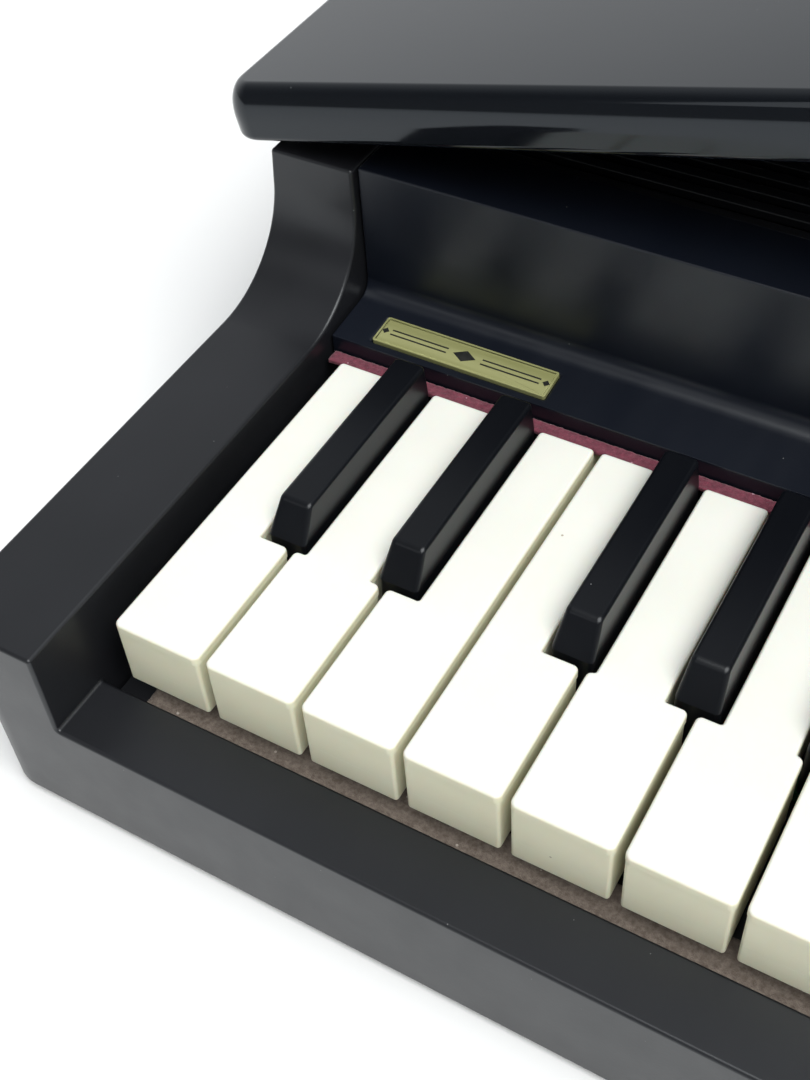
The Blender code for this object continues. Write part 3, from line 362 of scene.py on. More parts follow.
PAINT_BLACK = rough_matter("engraved_paint", (0.010, 0.011, 0.010), (0.018, 0.019, 0.018),
                           0.4, 0.5, 900.0, 0.000004)


# ---------------------------------------------------------------- mesh tools

def rectangle(left, right, near, far):
    return [(left, near), (right, near), (right, far), (left, far)]


def circle(centre, radius, sides=48):
    turns = [2 * math.pi * i / sides for i in range(sides)]
    return [(centre[0] + radius * math.cos(turn), centre[1] + radius * math.sin(turn)) for turn in turns]


def arc(centre, radius, start, end, step=FINE_ARC):
    """Points along an arc, both ends included."""
    count = max(2, math.ceil(abs(end - start) / step))
    turns = [start + (end - start) * i / count for i in range(count + 1)]
    return [(centre[0] + radius * math.cos(turn), centre[1] + radius * math.sin(turn)) for turn in turns]


def rounded(corners, radii, steps=5):
    """A closed outline with each corner rounded by its own radius."""
    points = []
    count = len(corners)
    for index in range(count):
        corner = Vector(corners[index])
        radius = radii[index]
        if radius <= 0:
            points.append(tuple(corner))
            continue
        before = (Vector(corners[index - 1]) - corner).normalized()
        after = (Vector(corners[(index + 1) % count]) - corner).normalized()
        half = math.acos(max(-1.0, min(1.0, before.dot(after)))) / 2
        reach = radius / math.tan(half)
        centre = corner + (before + after).normalized() * (radius / math.sin(half))
        first = corner + before * reach - centre
        turn = first.angle_signed(corner + after * reach - centre)
        for step in range(steps + 1):
            swing = Matrix.Rotation(-turn * step / steps, 2)
            points.append(tuple(centre + swing @ first))
    return points


PLANES = {"XY": Matrix.Identity(4),
          "YZ": Matrix(((0, 0, 1, 0), (1, 0, 0, 0), (0, 1, 0, 0), (0, 0, 0, 1))),
          "XZ": Matrix(((1, 0, 0, 0), (0, 0, -1, 0), (0, 1, 0, 0), (0, 0, 0, 1)))}


def loft(work, levels, plane="XY"):
    """Add one closed body through outlines of equal count at rising heights. Returns its end faces."""
    lay = PLANES[plane]
    rings = [[work.verts.new(lay @ Vector((u, v, height))) for u, v in outline] for height, outline in levels]
    for lower, upper in zip(rings, rings[1:]):
        for index in range(len(lower)):
            work.faces.new((lower[index - 1], lower[index], upper[index], upper[index - 1]))
    return work.faces.new(rings[0][::-1]), work.faces.new(rings[-1])


def prism(work, outline, low, high, plane="XY"):
    return loft(work, [(low, outline), (high, outline)], plane)


def soft_levels(outline_at, low, high, lower=0.0, upper=0.0, depth=None, steps=5):
    """Levels of a loft with rounded edges. outline_at gives the outline at a height and an inset."""
    depth = upper if depth is None else depth
    levels = []
    for step in range(steps + 1 if lower else 1):
        turn = math.pi / 2 * step / steps
        height = low + lower * (1 - math.cos(turn))
        levels.append((height, outline_at(height, lower * (1 - math.sin(turn)))))
    for step in range(steps + 1):
        turn = math.pi / 2 * step / steps
        height = high - upper * (1 - math.sin(turn))
        levels.append((height, outline_at(height, depth * (1 - math.cos(turn)))))
    return levels


def put_box(work, low, high):
    low = Vector(low)
    size = Vector(high) - low
    place = Matrix.Translation(low + size / 2) @ Matrix.Diagonal((*size, 1.0))
    return bmesh.ops.create_cube(work, size=1.0, matrix=place)["verts"]


def to_mesh(work, name):
    bmesh.ops.recalc_face_normals(work, faces=work.faces)
    mesh = bpy.data.meshes.new(name)
    work.to_mesh(mesh)
    work.free()
    return mesh


def build_mesh(name, build):
    work = bmesh.new()
    build(work)
    return to_mesh(work, name)


def boxes_mesh(*corners):
    return build_mesh("boxes", lambda work: [put_box(work, low, high) for low, high in corners])


def prism_mesh(outline, low, high, plane="XY"):
    return build_mesh("prism", lambda work: prism(work, outline, low, high, plane))


def sheet_with_holes(outlines, low, high):
    """A flat plate with holes, filled as a 2D curve and cleaned to flat faces."""
    curve = bpy.data.curves.new("sheet", "CURVE")
    curve.dimensions = "2D"
    curve.fill_mode = "BOTH"
    curve.extrude = (high - low) / 2
    for outline in outlines:
        spline = curve.splines.new("POLY")
        spline.points.add(len(outline) - 1)
        for point, (x, y) in zip(spline.points, outline):
            point.co = (x, y, 0.0, 1.0)
        spline.use_cyclic_u = True
    source = bpy.data.objects.new("sheet", curve)
    bpy.context.scene.collection.objects.link(source)
    bpy.context.view_layer.update()
    mesh = bpy.data.meshes.new_from_object(source.evaluated_get(bpy.context.evaluated_depsgraph_get()))
    bpy.data.objects.remove(source, do_unlink=True)
    mesh.transform(Matrix.Translation((0, 0, (low + high) / 2)))
    return cleaned(mesh)


def cleaned(mesh):
    """Weld a mesh and merge its coplanar faces."""
    work = bmesh.new()
    work.from_mesh(mesh)
    bmesh.ops.remove_doubles(work, verts=work.verts, dist=0.004 * MM)
    bmesh.ops.dissolve_limit(work, angle_limit=math.radians(0.3), verts=work.verts, edges=work.edges)
    bmesh.ops.recalc_face_normals(work, faces=work.faces)
    work.to_mesh(mesh)
    work.free()
    return mesh


def carved(mesh, *cuts):
    """The mesh after exact booleans. Each cut is a tool mesh and its operation."""
    target = bpy.data.objects.new("carved", mesh)
    bpy.context.scene.collection.objects.link(target)
    tools = []
    for tool_mesh, operation in cuts:
        tool = bpy.data.objects.new("tool", tool_mesh)
        bpy.context.scene.collection.objects.link(tool)
        step = target.modifiers.new("cut", "BOOLEAN")
        step.operation = operation
        step.solver = "EXACT"
        step.object = tool
        tools.append(tool)
    bpy.context.view_layer.update()
    result = bpy.data.meshes.new_from_object(target.evaluated_get(bpy.context.evaluated_depsgraph_get()))
    for used in (target, *tools):
        bpy.data.objects.remove(used, do_unlink=True)
    return cleaned(result)


def piece(name, mesh, body, finish, slot, replaces=(), bevel=0.0, segments=3, angle=35.0):
    """Make a visible piece from a mesh in world places, and let it ride on its CAD body."""
    mesh.materials.clear()
    mesh.materials.append(finish)
    mesh.shade_smooth()
    made = bpy.data.objects.new(name, mesh)
    bpy.context.scene.collection.objects.link(made)
    if bevel:
        edge = made.modifiers.new("edges", "BEVEL")
        edge.width = bevel
        edge.segments = segments
        edge.limit_method = "ANGLE"
        edge.angle_limit = math.radians(angle)
        edge.use_clamp_overlap = False
        edge.harden_normals = True
        edge.miter_outer = "MITER_ARC"
    else:
        mesh.set_sharp_from_angle(angle=math.radians(angle))
        level = made.modifiers.new("flat_faces", "WEIGHTED_NORMAL")
        level.keep_sharp = True
    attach(made, body)
    if replaces:
        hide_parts(*replaces)
    return made


def turned_mesh(profile, centre, steps=48, lay=None):
    """Turn a profile of radius and height round the vertical, from its inner top to its inner bottom."""
    def build(work):
        rings = []
        for radius, height in profile:
            if radius < 1e-7:
                rings.append([work.verts.new((0.0, 0.0, height))])
            else:
                rings.append([work.verts.new((radius * math.cos(2 * math.pi * i / steps),
                                              radius * math.sin(2 * math.pi * i / steps), height))
                              for i in range(steps)])
        for upper, lower in zip(rings, rings[1:]):
            for i in range(steps):
                j = (i + 1) % steps
                corners = [upper[i % len(upper)], lower[i % len(lower)],
                           lower[j % len(lower)], upper[j % len(upper)]]
                corners = list(dict.fromkeys(corners))
                if len(corners) > 2:
                    work.faces.new(corners)
    mesh = build_mesh("turned", build)
    if lay is not None:
        mesh.transform(lay)
    mesh.transform(Matrix.Translation(centre))
    return mesh


# ---------------------------------------------------------------- case

def harp_sides(grow):
    """The case's outline from the treble side round the tail to the bass side, offset outward by grow."""
    side_y = (CASE_BACK - TAIL_RADIUS - (SIDE_RADIUS + WAIST_RADIUS) * math.sin(SIDE_TURN)
              + (WAIST_RADIUS + TAIL_RADIUS) * math.sin(WAIST_TURN))
    side = Vector((CASE_HALF - SIDE_RADIUS, side_y))
    waist = side + (SIDE_RADIUS + WAIST_RADIUS) * Vector((math.cos(SIDE_TURN), math.sin(SIDE_TURN)))
    tail = waist - (WAIST_RADIUS + TAIL_RADIUS) * Vector((math.cos(WAIST_TURN), math.sin(WAIST_TURN)))
    corner = (-CASE_HALF + CORNER_RADIUS, CASE_BACK - CORNER_RADIUS)
    points = arc(side, SIDE_RADIUS + grow, 0.0, SIDE_TURN)
    points += arc(waist, WAIST_RADIUS - grow, math.pi + SIDE_TURN, math.pi + WAIST_TURN)[1:]
    points += arc(tail, TAIL_RADIUS + grow, WAIST_TURN, math.pi / 2)[1:]
    points += arc(corner, CORNER_RADIUS + grow, math.pi / 2, math.pi)
    return points


def harp(grow, front, corner=0.0):
    half = CASE_HALF + grow
    if corner:
        left = arc((-half + corner, front + corner), corner, math.pi, 1.5 * math.pi, math.radians(9))
        right = arc((half - corner, front + corner), corner, 1.5 * math.pi, 2 * math.pi, math.radians(9))
        return harp_sides(grow) + left + right
    return harp_sides(grow) + [(-half, front), (half, front)]


def make_case():
    above = RIM_TOP + 10 * MM
    below = CASE_BOTTOM - 5 * MM
    before = CASE_FRONT - 10 * MM
    reach = CASE_HALF + 10 * MM
    bend = arc((CHEEK_FACE_Y - CHEEK_CURVE, CHEEK_TOP + CHEEK_CURVE), CHEEK_CURVE, -math.pi / 2, 0.0)
    cheek = [(before, CHEEK_TOP)] + bend + [(CHEEK_FACE_Y, above), (before, above)]
    def outer(work):
        upright = harp(0.0, CASE_FRONT, FRONT_CORNER)
        leaning = harp(-RIM_LEAN, CASE_FRONT, FRONT_CORNER)
        loft(work, [(CASE_BOTTOM, upright), (CHEEK_TOP, upright), (RIM_TOP, leaning)])
    def inner(work):
        front = BAND_BACK - 4 * MM
        loft(work, [(below, harp(-WALL, front)), (CHEEK_TOP, harp(-WALL, front)),
                    (RIM_TOP - WALL, harp(-WALL - RIM_LEAN, front))])
    def jack_holes(work):
        for node in ("headphone_jack", "power_jack"):
            low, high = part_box(node)
            lay = Matrix.Translation(((low.x + high.x) / 2, CASE_BACK, (low.z + high.z) / 2))
            bmesh.ops.create_cone(work, cap_ends=True, segments=40, radius1=JACK_RADIUS, radius2=JACK_RADIUS,
                                  depth=16 * MM, matrix=lay @ Matrix.Rotation(math.pi / 2, 4, "X"))
    well = boxes_mesh(((-CHEEK_INNER, SLIP_BACK, below), (CHEEK_INNER, BAND_BACK + GAP, above)))
    over_slip = boxes_mesh(((-CHEEK_INNER, before, SLIP_TOP), (CHEEK_INNER, SLIP_BACK + 1 * MM, above)))
    shell = carved(
        build_mesh("rim", outer),
        (prism_mesh(cheek, -reach, reach, "YZ"), "DIFFERENCE"),
        (well, "DIFFERENCE"),
        (over_slip, "DIFFERENCE"),
        (build_mesh("inside", inner), "DIFFERENCE"),
        (prism_mesh(harp(-FLANGE, BAND_BACK - 1 * MM), RIM_TOP - 2 * WALL, above), "DIFFERENCE"),
        (build_mesh("holes", jack_holes), "DIFFERENCE"))
    piece("case_rim", shell, "case", CASE_BLACK, "satin_black", ["case_shell"], 0.55 * MM, 3)


def make_base():
    """Finer rubber feet. The base plate and its cover keep their CAD shapes."""
    for node in [name for name in frame["nodes"] if name.startswith("foot_")]:
        low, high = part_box(node)
        radius = (high.x - low.x) / 2
        height = high.z - low.z
        profile = [(0.0, height), (radius, height), (radius, 0.6 * MM), (radius - 0.2 * MM, 0.25 * MM),
                   (radius - 0.6 * MM, 0.0), (radius - 2.2 * MM, 0.0), (radius - 2.6 * MM, 0.35 * MM),
                   (0.0, 0.35 * MM)]
        centre = ((low.x + high.x) / 2, (low.y + high.y) / 2, low.z)
        piece(node + "_pad", turned_mesh(profile, centre), "case", FOOT_RUBBER, "foot_rubber", [node])


# ---------------------------------------------------------------- keys

def octave_left(octave):
    return KEY_LEFT + octave * 7 * PITCH


def black_centre(octave, note):
    return octave_left(octave) + BLACK_CENTRES[note] * PITCH


def white_plan(octave, note, inset=0.0, corner=1.0 * MM):
    """A white key's plan: the head, and the tail between its black neighbours, with rounded corners."""
    left = octave_left(octave) + NOTE_NAMES.index(note) * PITCH + (PITCH - WHITE_WIDTH) / 2
    right = left + WHITE_WIDTH
    low_black, high_black = BLACK_SIDES[note] if octave < OCTAVES else (None, None)
    tail_left = black_centre(octave, low_black) + NOTCH_HALF if low_black else left
    tail_right = black_centre(octave, high_black) - NOTCH_HALF if high_black else right
    left, right = left + inset, right - inset
    tail_left, tail_right = tail_left + inset, tail_right - inset
    front = KEY_FRONT + inset
    shoulder = KEY_FRONT + HEAD_LENGTH - inset
    back = KEY_FRONT + WHITE_LENGTH - inset
    corners = [(left, front), (right, front)]
    radii = [corner - inset] * 2
    if high_black:
        corners += [(right, shoulder), (tail_right, shoulder)]
        radii += [0.8 * MM - inset, 0.35 * MM + inset]
    corners += [(tail_right, back), (tail_left, back)]
    radii += [0.7 * MM - inset] * 2
    if low_black:
        corners += [(tail_left, shoulder), (left, shoulder)]
        radii += [0.35 * MM + inset, 0.8 * MM - inset]
    return rounded(corners, radii), (tail_left, tail_right)


def add_arm(work, left, right, level, top):
    """The hidden arm behind a key's tail, down to its level at the hinge rail."""
    low, high = ARM_LEVELS[level]
    start = WHITE_LENGTH - 0.8 * MM
    base = min(-TAIL_DEPTH, low) + 0.4 * MM
    outline = [(start, base), (STEP_BACK, base), (STEP_BACK, low), (KEY_BACK, low), (KEY_BACK, high)]
    if high < top:
        outline += [(STEP_BACK, high), (STEP_BACK, top)]
    outline += [(start, top)]
    placed = [(KEY_FRONT + y, KEY_TOP + z) for y, z in outline]
    trim = [point for index, point in enumerate(placed) if point != placed[index - 1]]
    prism(work, trim, left + ARM_CLEARANCE, right - ARM_CLEARANCE, "YZ")


def add_white_key(work, octave, note, level):
    """A white key: a top slab with soft edges, over a slightly smaller body with its arm."""
    def slab(_, inset):
        return white_plan(octave, note, inset)[0]
    loft(work, soft_levels(slab, KEY_TOP - SLAB, KEY_TOP, 0.0, WHITE_EDGE))
    body, (tail_left, tail_right) = white_plan(octave, note, SLAB_LIP, BODY_CORNER + SLAB_LIP)
    prism(work, body, KEY_TOP - TAIL_DEPTH + SEAM, KEY_TOP - SLAB - 2 * SEAM)
    x_low = min(point[0] for point in body)
    x_high = max(point[0] for point in body)
    front = KEY_FRONT + SLAB_LIP
    back = KEY_FRONT + HEAD_LENGTH - 1 * MM
    def head(_, inset):
        corners = rectangle(x_low + inset, x_high - inset, front + inset, back - inset)
        return rounded(corners, [BODY_CORNER - inset] * 4)
    loft(work, soft_levels(head, KEY_TOP - FRONT_HEIGHT, KEY_TOP - TAIL_DEPTH, 0.3 * MM, 0.0))
    add_arm(work, tail_left, tail_right, level, WHITE_ARM_TOP)


def add_black_key(work, octave, note):
    """A black key: a low body, and a tapered head with a sloping front and soft edges."""
    centre = black_centre(octave, note)
    half = BLACK_WIDTH / 2
    top_half = BLACK_TOP_WIDTH / 2
    front = KEY_FRONT + BLACK_FRONT
    back = KEY_FRONT + WHITE_LENGTH
    def outline_at(height, inset):
        share = max(0.0, (height - KEY_TOP) / BLACK_RISE)
        width = half + (top_half - half) * share - inset
        start = front + BLACK_SLOPE * share + inset
        corners = rectangle(centre - width, centre + width, start, back - inset)
        return rounded(corners, [BLACK_CORNER - inset] * 4)
    prism(work, outline_at(KEY_TOP, 0.0), KEY_TOP + BLACK_BOTTOM, KEY_TOP - SEAM)
    loft(work, soft_levels(outline_at, KEY_TOP, KEY_TOP + BLACK_RISE, 0.0, BLACK_EDGE))
    add_arm(work, centre - half, centre + half, "black", BLACK_ARM_TOP)


def key_piece(node, whites, blacks, level):
    """One CAD key node as a fine piece, with its rail where it is a moulding of several keys."""
    low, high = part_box(node)
    def build(work):
        for octave, note in whites:
            add_white_key(work, octave, note, level)
        for octave, note in blacks:
            add_black_key(work, octave, note)
        if len(whites) + len(blacks) > 1:
            rail_low, rail_high = ARM_LEVELS[level]
            put_box(work, (low.x + 1 * MM, KEY_FRONT + RAIL_FRONT, KEY_TOP + rail_low + RAIL_MARGIN),
                    (high.x - 1 * MM, KEY_FRONT + RAIL_BACK, KEY_TOP + rail_high - RAIL_MARGIN))
    finish, slot = (IVORY, "ivory_key") if whites else (KEY_BLACK, "black_key")
    piece(node + "_moulding", build_mesh(node, build), node, finish, slot, [node], angle=50.0)


def make_keyboard():
    for note in NOTE_NAMES:
        key_piece(f"key_{note}1", [(0, note)], [], "outer" if note in OUTER_NOTES else "inner")
    for note in BLACK_CENTRES:
        key_piece(f"key_{note}1", [], [(0, note)], "black")
    for octave in range(1, OCTAVES):
        outer = [(octave, note) for note in OUTER_NOTES]
        if octave == OCTAVES - 1:
            outer.append((OCTAVES, "c"))
        inner = [(octave, note) for note in NOTE_NAMES if note not in OUTER_NOTES]
        key_piece(f"keys_outer_octave_{octave + 1}", outer, [], "outer")
        key_piece(f"keys_inner_octave_{octave + 1}", inner, [], "inner")
        key_piece(f"keys_black_octave_{octave + 1}", [], [(octave, note) for note in BLACK_CENTRES], "black")


def felt_strip(name, node, finish, slot, cell, depth):
    """A felt strip as a fine grid on every side, roughened by noise and kept inside its CAD box."""
    low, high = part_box(node)
    counts = [max(1, round((high[axis] - low[axis]) / cell)) for axis in range(3)]
    counts[0] = round((high.x - low.x) / (cell * 1.5))
    work = bmesh.new()
    put_box(work, low + Vector((0, depth, depth)), high - Vector((0, depth, depth)))
    for axis in range(3):
        edges = [edge for edge in work.edges
                 if abs((edge.verts[0].co - edge.verts[1].co)[axis]) > 0.5 * (high[axis] - low[axis]) / 1.01
                 and abs((edge.verts[0].co - edge.verts[1].co).normalized()[axis]) > 0.9]
        bmesh.ops.subdivide_edges(work, edges=edges, cuts=counts[axis] - 1, use_grid_fill=True)
    bmesh.ops.recalc_face_normals(work, faces=work.faces)
    for vert in work.verts:
        push = noise.noise(vert.co * 1400) * 0.6 + noise.noise(vert.co * 3100) * 0.4
        vert.co += vert.normal * max(-depth, min(depth, push * depth * 1.6))
        vert.co.x = max(low.x, min(high.x, vert.co.x))
    piece(name, to_mesh(work, name), "case", finish, slot, [node], angle=180.0)


# ---------------------------------------------------------------- fallboard and plate

LIP_Y = BOARD_LOW.y
LIP_Z = KEY_TOP + 1.75 * MM
COVE_Z = KEY_TOP + 2.7 * MM
COVE_RADIUS = 2.8 * MM
BOARD_THICK = 2.4 * MM
PLATE_X = KEY_LEFT + 18.15 * MM
PLATE_BACK = 4.05 * MM
PLATE_HALF = Vector((14.55 * MM, 2.65 * MM))
PLATE_RISE = 0.4 * MM
PLATE_GAP = 0.15 * MM
SHELF_SLOPE = math.atan2(COVE_Z - LIP_Z, FACE_Y - LIP_Y)
PLATE_LAY = (Matrix.Translation((PLATE_X, LIP_Y + PLATE_BACK * math.cos(SHELF_SLOPE),
                                 LIP_Z + PLATE_BACK * math.sin(SHELF_SLOPE)))
             @ Matrix.Rotation(SHELF_SLOPE, 4, "X"))


def make_fallboard():
    rise = COVE_RADIUS * math.tan((math.pi / 2 - SHELF_SLOPE) / 2)
    cove = arc((FACE_Y - COVE_RADIUS, COVE_Z + rise), COVE_RADIUS, -math.pi / 2 + SHELF_SLOPE, 0.0,
               math.radians(5))
    under = BOARD_LOW.z
    outline = [(LIP_Y, under), (LIP_Y, LIP_Z)] + cove
    outline += [(FACE_Y, RIM_TOP), (BAND_BACK, RIM_TOP), (BAND_BACK, RIM_TOP - BOARD_THICK),
                (FACE_Y + BOARD_THICK, RIM_TOP - BOARD_THICK), (FACE_Y + BOARD_THICK, under)]
    recess = boxes_mesh(((-PLATE_HALF.x - PLATE_GAP, -PLATE_HALF.y - PLATE_GAP, -0.5 * MM),
                         (PLATE_HALF.x + PLATE_GAP, PLATE_HALF.y + PLATE_GAP, 2 * MM)))
    recess.transform(PLATE_LAY)
    board = carved(prism_mesh(outline, BOARD_LOW.x, BOARD_HIGH.x, "YZ"), (recess, "DIFFERENCE"))
    piece("fallboard_moulding", board, "case", BOARD_BLACK, "satin_black", ["fallboard"], 0.3 * MM, 3, 38.0)


def make_name_plate():
    """Plain gilt plate with a raised border, and a generic engraved ornament of lines and lozenges."""
    def plate(work):
        outline = rounded([(-PLATE_HALF.x, -PLATE_HALF.y), (PLATE_HALF.x, -PLATE_HALF.y),
                           (PLATE_HALF.x, PLATE_HALF.y), (-PLATE_HALF.x, PLATE_HALF.y)], [0.35 * MM] * 4)
        _, top = prism(work, outline, -0.35 * MM, PLATE_RISE)
        bmesh.ops.inset_region(work, faces=[top], thickness=0.12 * MM, depth=0.0)
        bmesh.ops.inset_region(work, faces=[top], thickness=0.30 * MM, depth=0.0)
        bmesh.ops.inset_region(work, faces=[top], thickness=0.12 * MM, depth=-0.12 * MM)
    mesh = build_mesh("name_plate", plate)
    mesh.transform(PLATE_LAY)
    piece("name_plate_gilt", mesh, "case", GOLD, "gold_plate", ["name_plate"], 0.05 * MM, 2, 30.0)
    def ornament(work):
        level = PLATE_RISE - 0.11 * MM
        def bar(x_low, x_high, y, half):
            put_box(work, (x_low, y - half, level - 0.05 * MM), (x_high, y + half, level + 0.03 * MM))
        def lozenge(x, wide, tall):
            outline = [(x - wide, 0.0), (x, -tall), (x + wide, 0.0), (x, tall)]
            prism(work, outline, level - 0.05 * MM, level + 0.03 * MM)
        lozenge(0.0, 1.9 * MM, 1.15 * MM)
        for side in (-1, 1):
            inner, outer = sorted((side * 2.9 * MM, side * 12.6 * MM))
            bar(inner, outer, 0.45 * MM, 0.13 * MM)
            bar(inner, outer, -0.45 * MM, 0.13 * MM)
            lozenge(side * 13.6 * MM, 0.6 * MM, 0.6 * MM)
    mesh = build_mesh("name_plate_ornament", ornament)
    mesh.transform(PLATE_LAY)
    piece("name_plate_ornament", mesh, "case", PAINT_BLACK, "control_black")


# ---------------------------------------------------------------- panels and controls

SLOT_PITCH = 3.8 * MM
SLOT_WIDTH = 1.9 * MM
SLOT_ROWS = 16
SLOT_RUNS = 3
SLOT_WEB = 4.0 * MM
FIRST_SLOT = 2.1 * MM
SLOT_MARGIN = 8.0 * MM
KNOB_HOLE = 3.3 * MM
LENS_HOLE = 1.8 * MM
BUTTON_HOLE = 4.5 * MM
KNOB_HEIGHT = 4.4 * MM
KNOB_SHAFT = 3.0 * MM
SCALE_RADIUS = 11.0 * MM
SCALE_DOTS = 11
SCALE_START = 240
SCALE_STEP = 30
LABEL_DROP = 7.6 * MM
DECK_DROP = 14.0 * MM
BUTTONS = ("power_button", "tone_button", "song_button", "play_button")


def middle(node):
    low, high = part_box(node)
    return (low + high) / 2


def make_grille():
    low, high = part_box("speaker_grille")
    left, right = low.x + SLOT_MARGIN, high.x - SLOT_MARGIN
    run = (right - left - (SLOT_RUNS - 1) * SLOT_WEB) / SLOT_RUNS
    outlines = [rectangle(low.x, high.x, low.y, high.y)]
    for row in range(SLOT_ROWS):
        near = BAND_BACK + FIRST_SLOT + row * SLOT_PITCH
        for index in range(SLOT_RUNS):
            start = left + index * (run + SLOT_WEB)
            ends = rectangle(start, start + run, near, near + SLOT_WIDTH)
            outlines.append(rounded(ends, [SLOT_WIDTH * 0.45] * 4, 4))
    piece("grille_plate", sheet_with_holes(outlines, low.z, high.z), "case", CASE_BLACK, "satin_black",
          ["speaker_grille"], 0.3 * MM, 2, 50.0)


def make_control_panel():
    low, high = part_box("control_panel")
    knob = middle("volume_knob")
    lens = middle("power_light")
    outlines = [rectangle(low.x, high.x, low.y, high.y), circle(knob, KNOB_HOLE), circle(lens, LENS_HOLE, 32)]
    outlines += [circle(middle(node), BUTTON_HOLE) for node in BUTTONS]
    piece("control_plate", sheet_with_holes(outlines, low.z, high.z), "case", CASE_BLACK, "satin_black",
          ["control_panel"], 0.25 * MM, 2, 50.0)
    def marks(work):
        level = high.z
        def flat(outline):
            prism(work, outline, level - 0.05 * MM, level + 0.02 * MM)
        for index in range(SCALE_DOTS):
            turn = math.radians(SCALE_START - SCALE_STEP * index)
            size = (0.35 + 0.04 * index) * MM
            spot = (knob.x + SCALE_RADIUS * math.cos(turn), knob.y + SCALE_RADIUS * math.sin(turn))
            flat(circle(spot, size, 16))
        for index, node in enumerate(("tone_button", "song_button", "play_button")):
            spot = middle(node)
            base = spot.y - LABEL_DROP
            if node == "play_button":
                flat([(spot.x - 1.0 * MM, base - 1.1 * MM), (spot.x + 1.2 * MM, base),
                      (spot.x - 1.0 * MM, base + 1.1 * MM)])
            else:
                for dot in range(index + 1):
                    flat(circle((spot.x + (dot - index / 2) * 1.6 * MM, base), 0.5 * MM, 16))
        power = middle("power_button")
        flat(circle((power.x, power.y + 7.2 * MM), 1.2 * MM, 24))
    piece("control_marks", build_mesh("marks", marks), "case", PRINT_GREY, "control_black")


def make_controls():
    low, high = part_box("volume_knob")
    centre = middle("volume_knob")
    radius = (high.x - low.x) / 2
    top = high.z - KNOB_HEIGHT
    def grip(work):
        steps = 144
        def ring(size, height, ridge):
            return [work.verts.new((centre.x + r * math.cos(2 * math.pi * i / steps),
                                    centre.y + r * math.sin(2 * math.pi * i / steps), height))
                    for i in range(steps) for r in (size - ridge * (i % 4 == 0),)]
        shape = [(KNOB_SHAFT, low.z, 0), (KNOB_SHAFT, top, 0), (radius, top, 0), (radius, top + 0.6 * MM, 0),
                 (radius - 0.1 * MM, top + 0.9 * MM, 0.35 * MM),
                 (radius - 0.6 * MM, top + 3.4 * MM, 0.35 * MM), (radius - 0.9 * MM, top + 3.9 * MM, 0),
                 (radius - 1.5 * MM, top + 4.3 * MM, 0), (radius - 2.2 * MM, high.z, 0),
                 (radius - 3.2 * MM, high.z - 0.15 * MM, 0)]
        rings = [ring(*level) for level in shape]
        for lower, upper in zip(rings, rings[1:]):
            for i in range(steps):
                j = (i + 1) % steps
                work.faces.new((lower[i], lower[j], upper[j], upper[i]))
        work.faces.new(rings[0][::-1])
        work.faces.new(rings[-1])
    piece("volume_knob_grip", build_mesh("knob", grip), "volume_knob", CONTROL_BLACK, "control_black",
          ["volume_knob"], angle=40.0)
    line = rectangle(centre.x - 0.45 * MM, centre.x + 0.45 * MM, centre.y + 2.6 * MM,
                     centre.y + radius - 2.4 * MM)
    mark = prism_mesh(rounded(line, [0.3 * MM] * 4), high.z - 0.2 * MM, high.z - 0.05 * MM)
    piece("volume_knob_mark", mark, "volume_knob", PRINT_GREY, "control_black")
    for node in BUTTONS:
        low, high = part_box(node)
        size = (high.x - low.x) / 2
        tall = high.z - low.z
        cap = [(0.0, tall - 0.25 * MM), (size * 0.45, tall - 0.18 * MM), (size * 0.75, tall - 0.02 * MM),
               (size - 0.55 * MM, tall), (size - 0.25 * MM, tall - 0.08 * MM),
               (size - 0.06 * MM, tall - 0.28 * MM), (size, tall - 0.6 * MM), (size, 0.0), (0.0, 0.0)]
        spot = middle(node)
        piece(node + "_cap", turned_mesh(cap, (spot.x, spot.y, low.z)), node, CONTROL_BLACK,
              "control_black", [node])
    low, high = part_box("power_light")
    size = (high.x - low.x) / 2
    tall = high.z - low.z
    dome = [(size * math.sin(math.radians(10 * i)), tall - size * 0.6 * (1 - math.cos(math.radians(10 * i))))
            for i in range(10)]
    spot = middle("power_light")
    lens = turned_mesh(dome + [(size, 0.0), (0.0, 0.0)], (spot.x, spot.y, low.z), 32)
    piece("power_light_lens", lens, "case", LENS_GREEN, "led_lens", ["power_light"], angle=60.0)


def make_speakers():
    """Paper cones with a rolled surround, a dust cap and a pressed basket."""
    for node in ("speaker_left", "speaker_right"):
        low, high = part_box(node)
        spot = middle(node)
        cap = [(7.0 * MM * math.sin(turn), -6.6 * MM + 2.2 * MM * math.cos(turn))
               for turn in (math.radians(15 * i) for i in range(7))]
        cone = [(7.2 * MM, -6.9 * MM), (18.5 * MM, -2.4 * MM)]
        roll = [(20.2 * MM - 1.7 * MM * math.cos(turn), -2.3 * MM + 1.7 * MM * math.sin(turn))
                for turn in (math.radians(22.5 * i) for i in range(1, 9))]
        rest = [(22.6 * MM, -2.0 * MM), (22.8 * MM, 0.0), (24.8 * MM, 0.0), (25.0 * MM, -0.3 * MM),
                (25.0 * MM, -2.0 * MM), (22.0 * MM, -3.0 * MM), (14.0 * MM, -11.0 * MM),
                (14.0 * MM, -17.0 * MM), (0.0, -17.0 * MM)]
        mesh = turned_mesh(cap + cone + roll + rest, (spot.x, spot.y, high.z), 64)
        piece(node + "_cone", mesh, "case", CONE_PAPER, "speaker_paper", [node], angle=50.0)


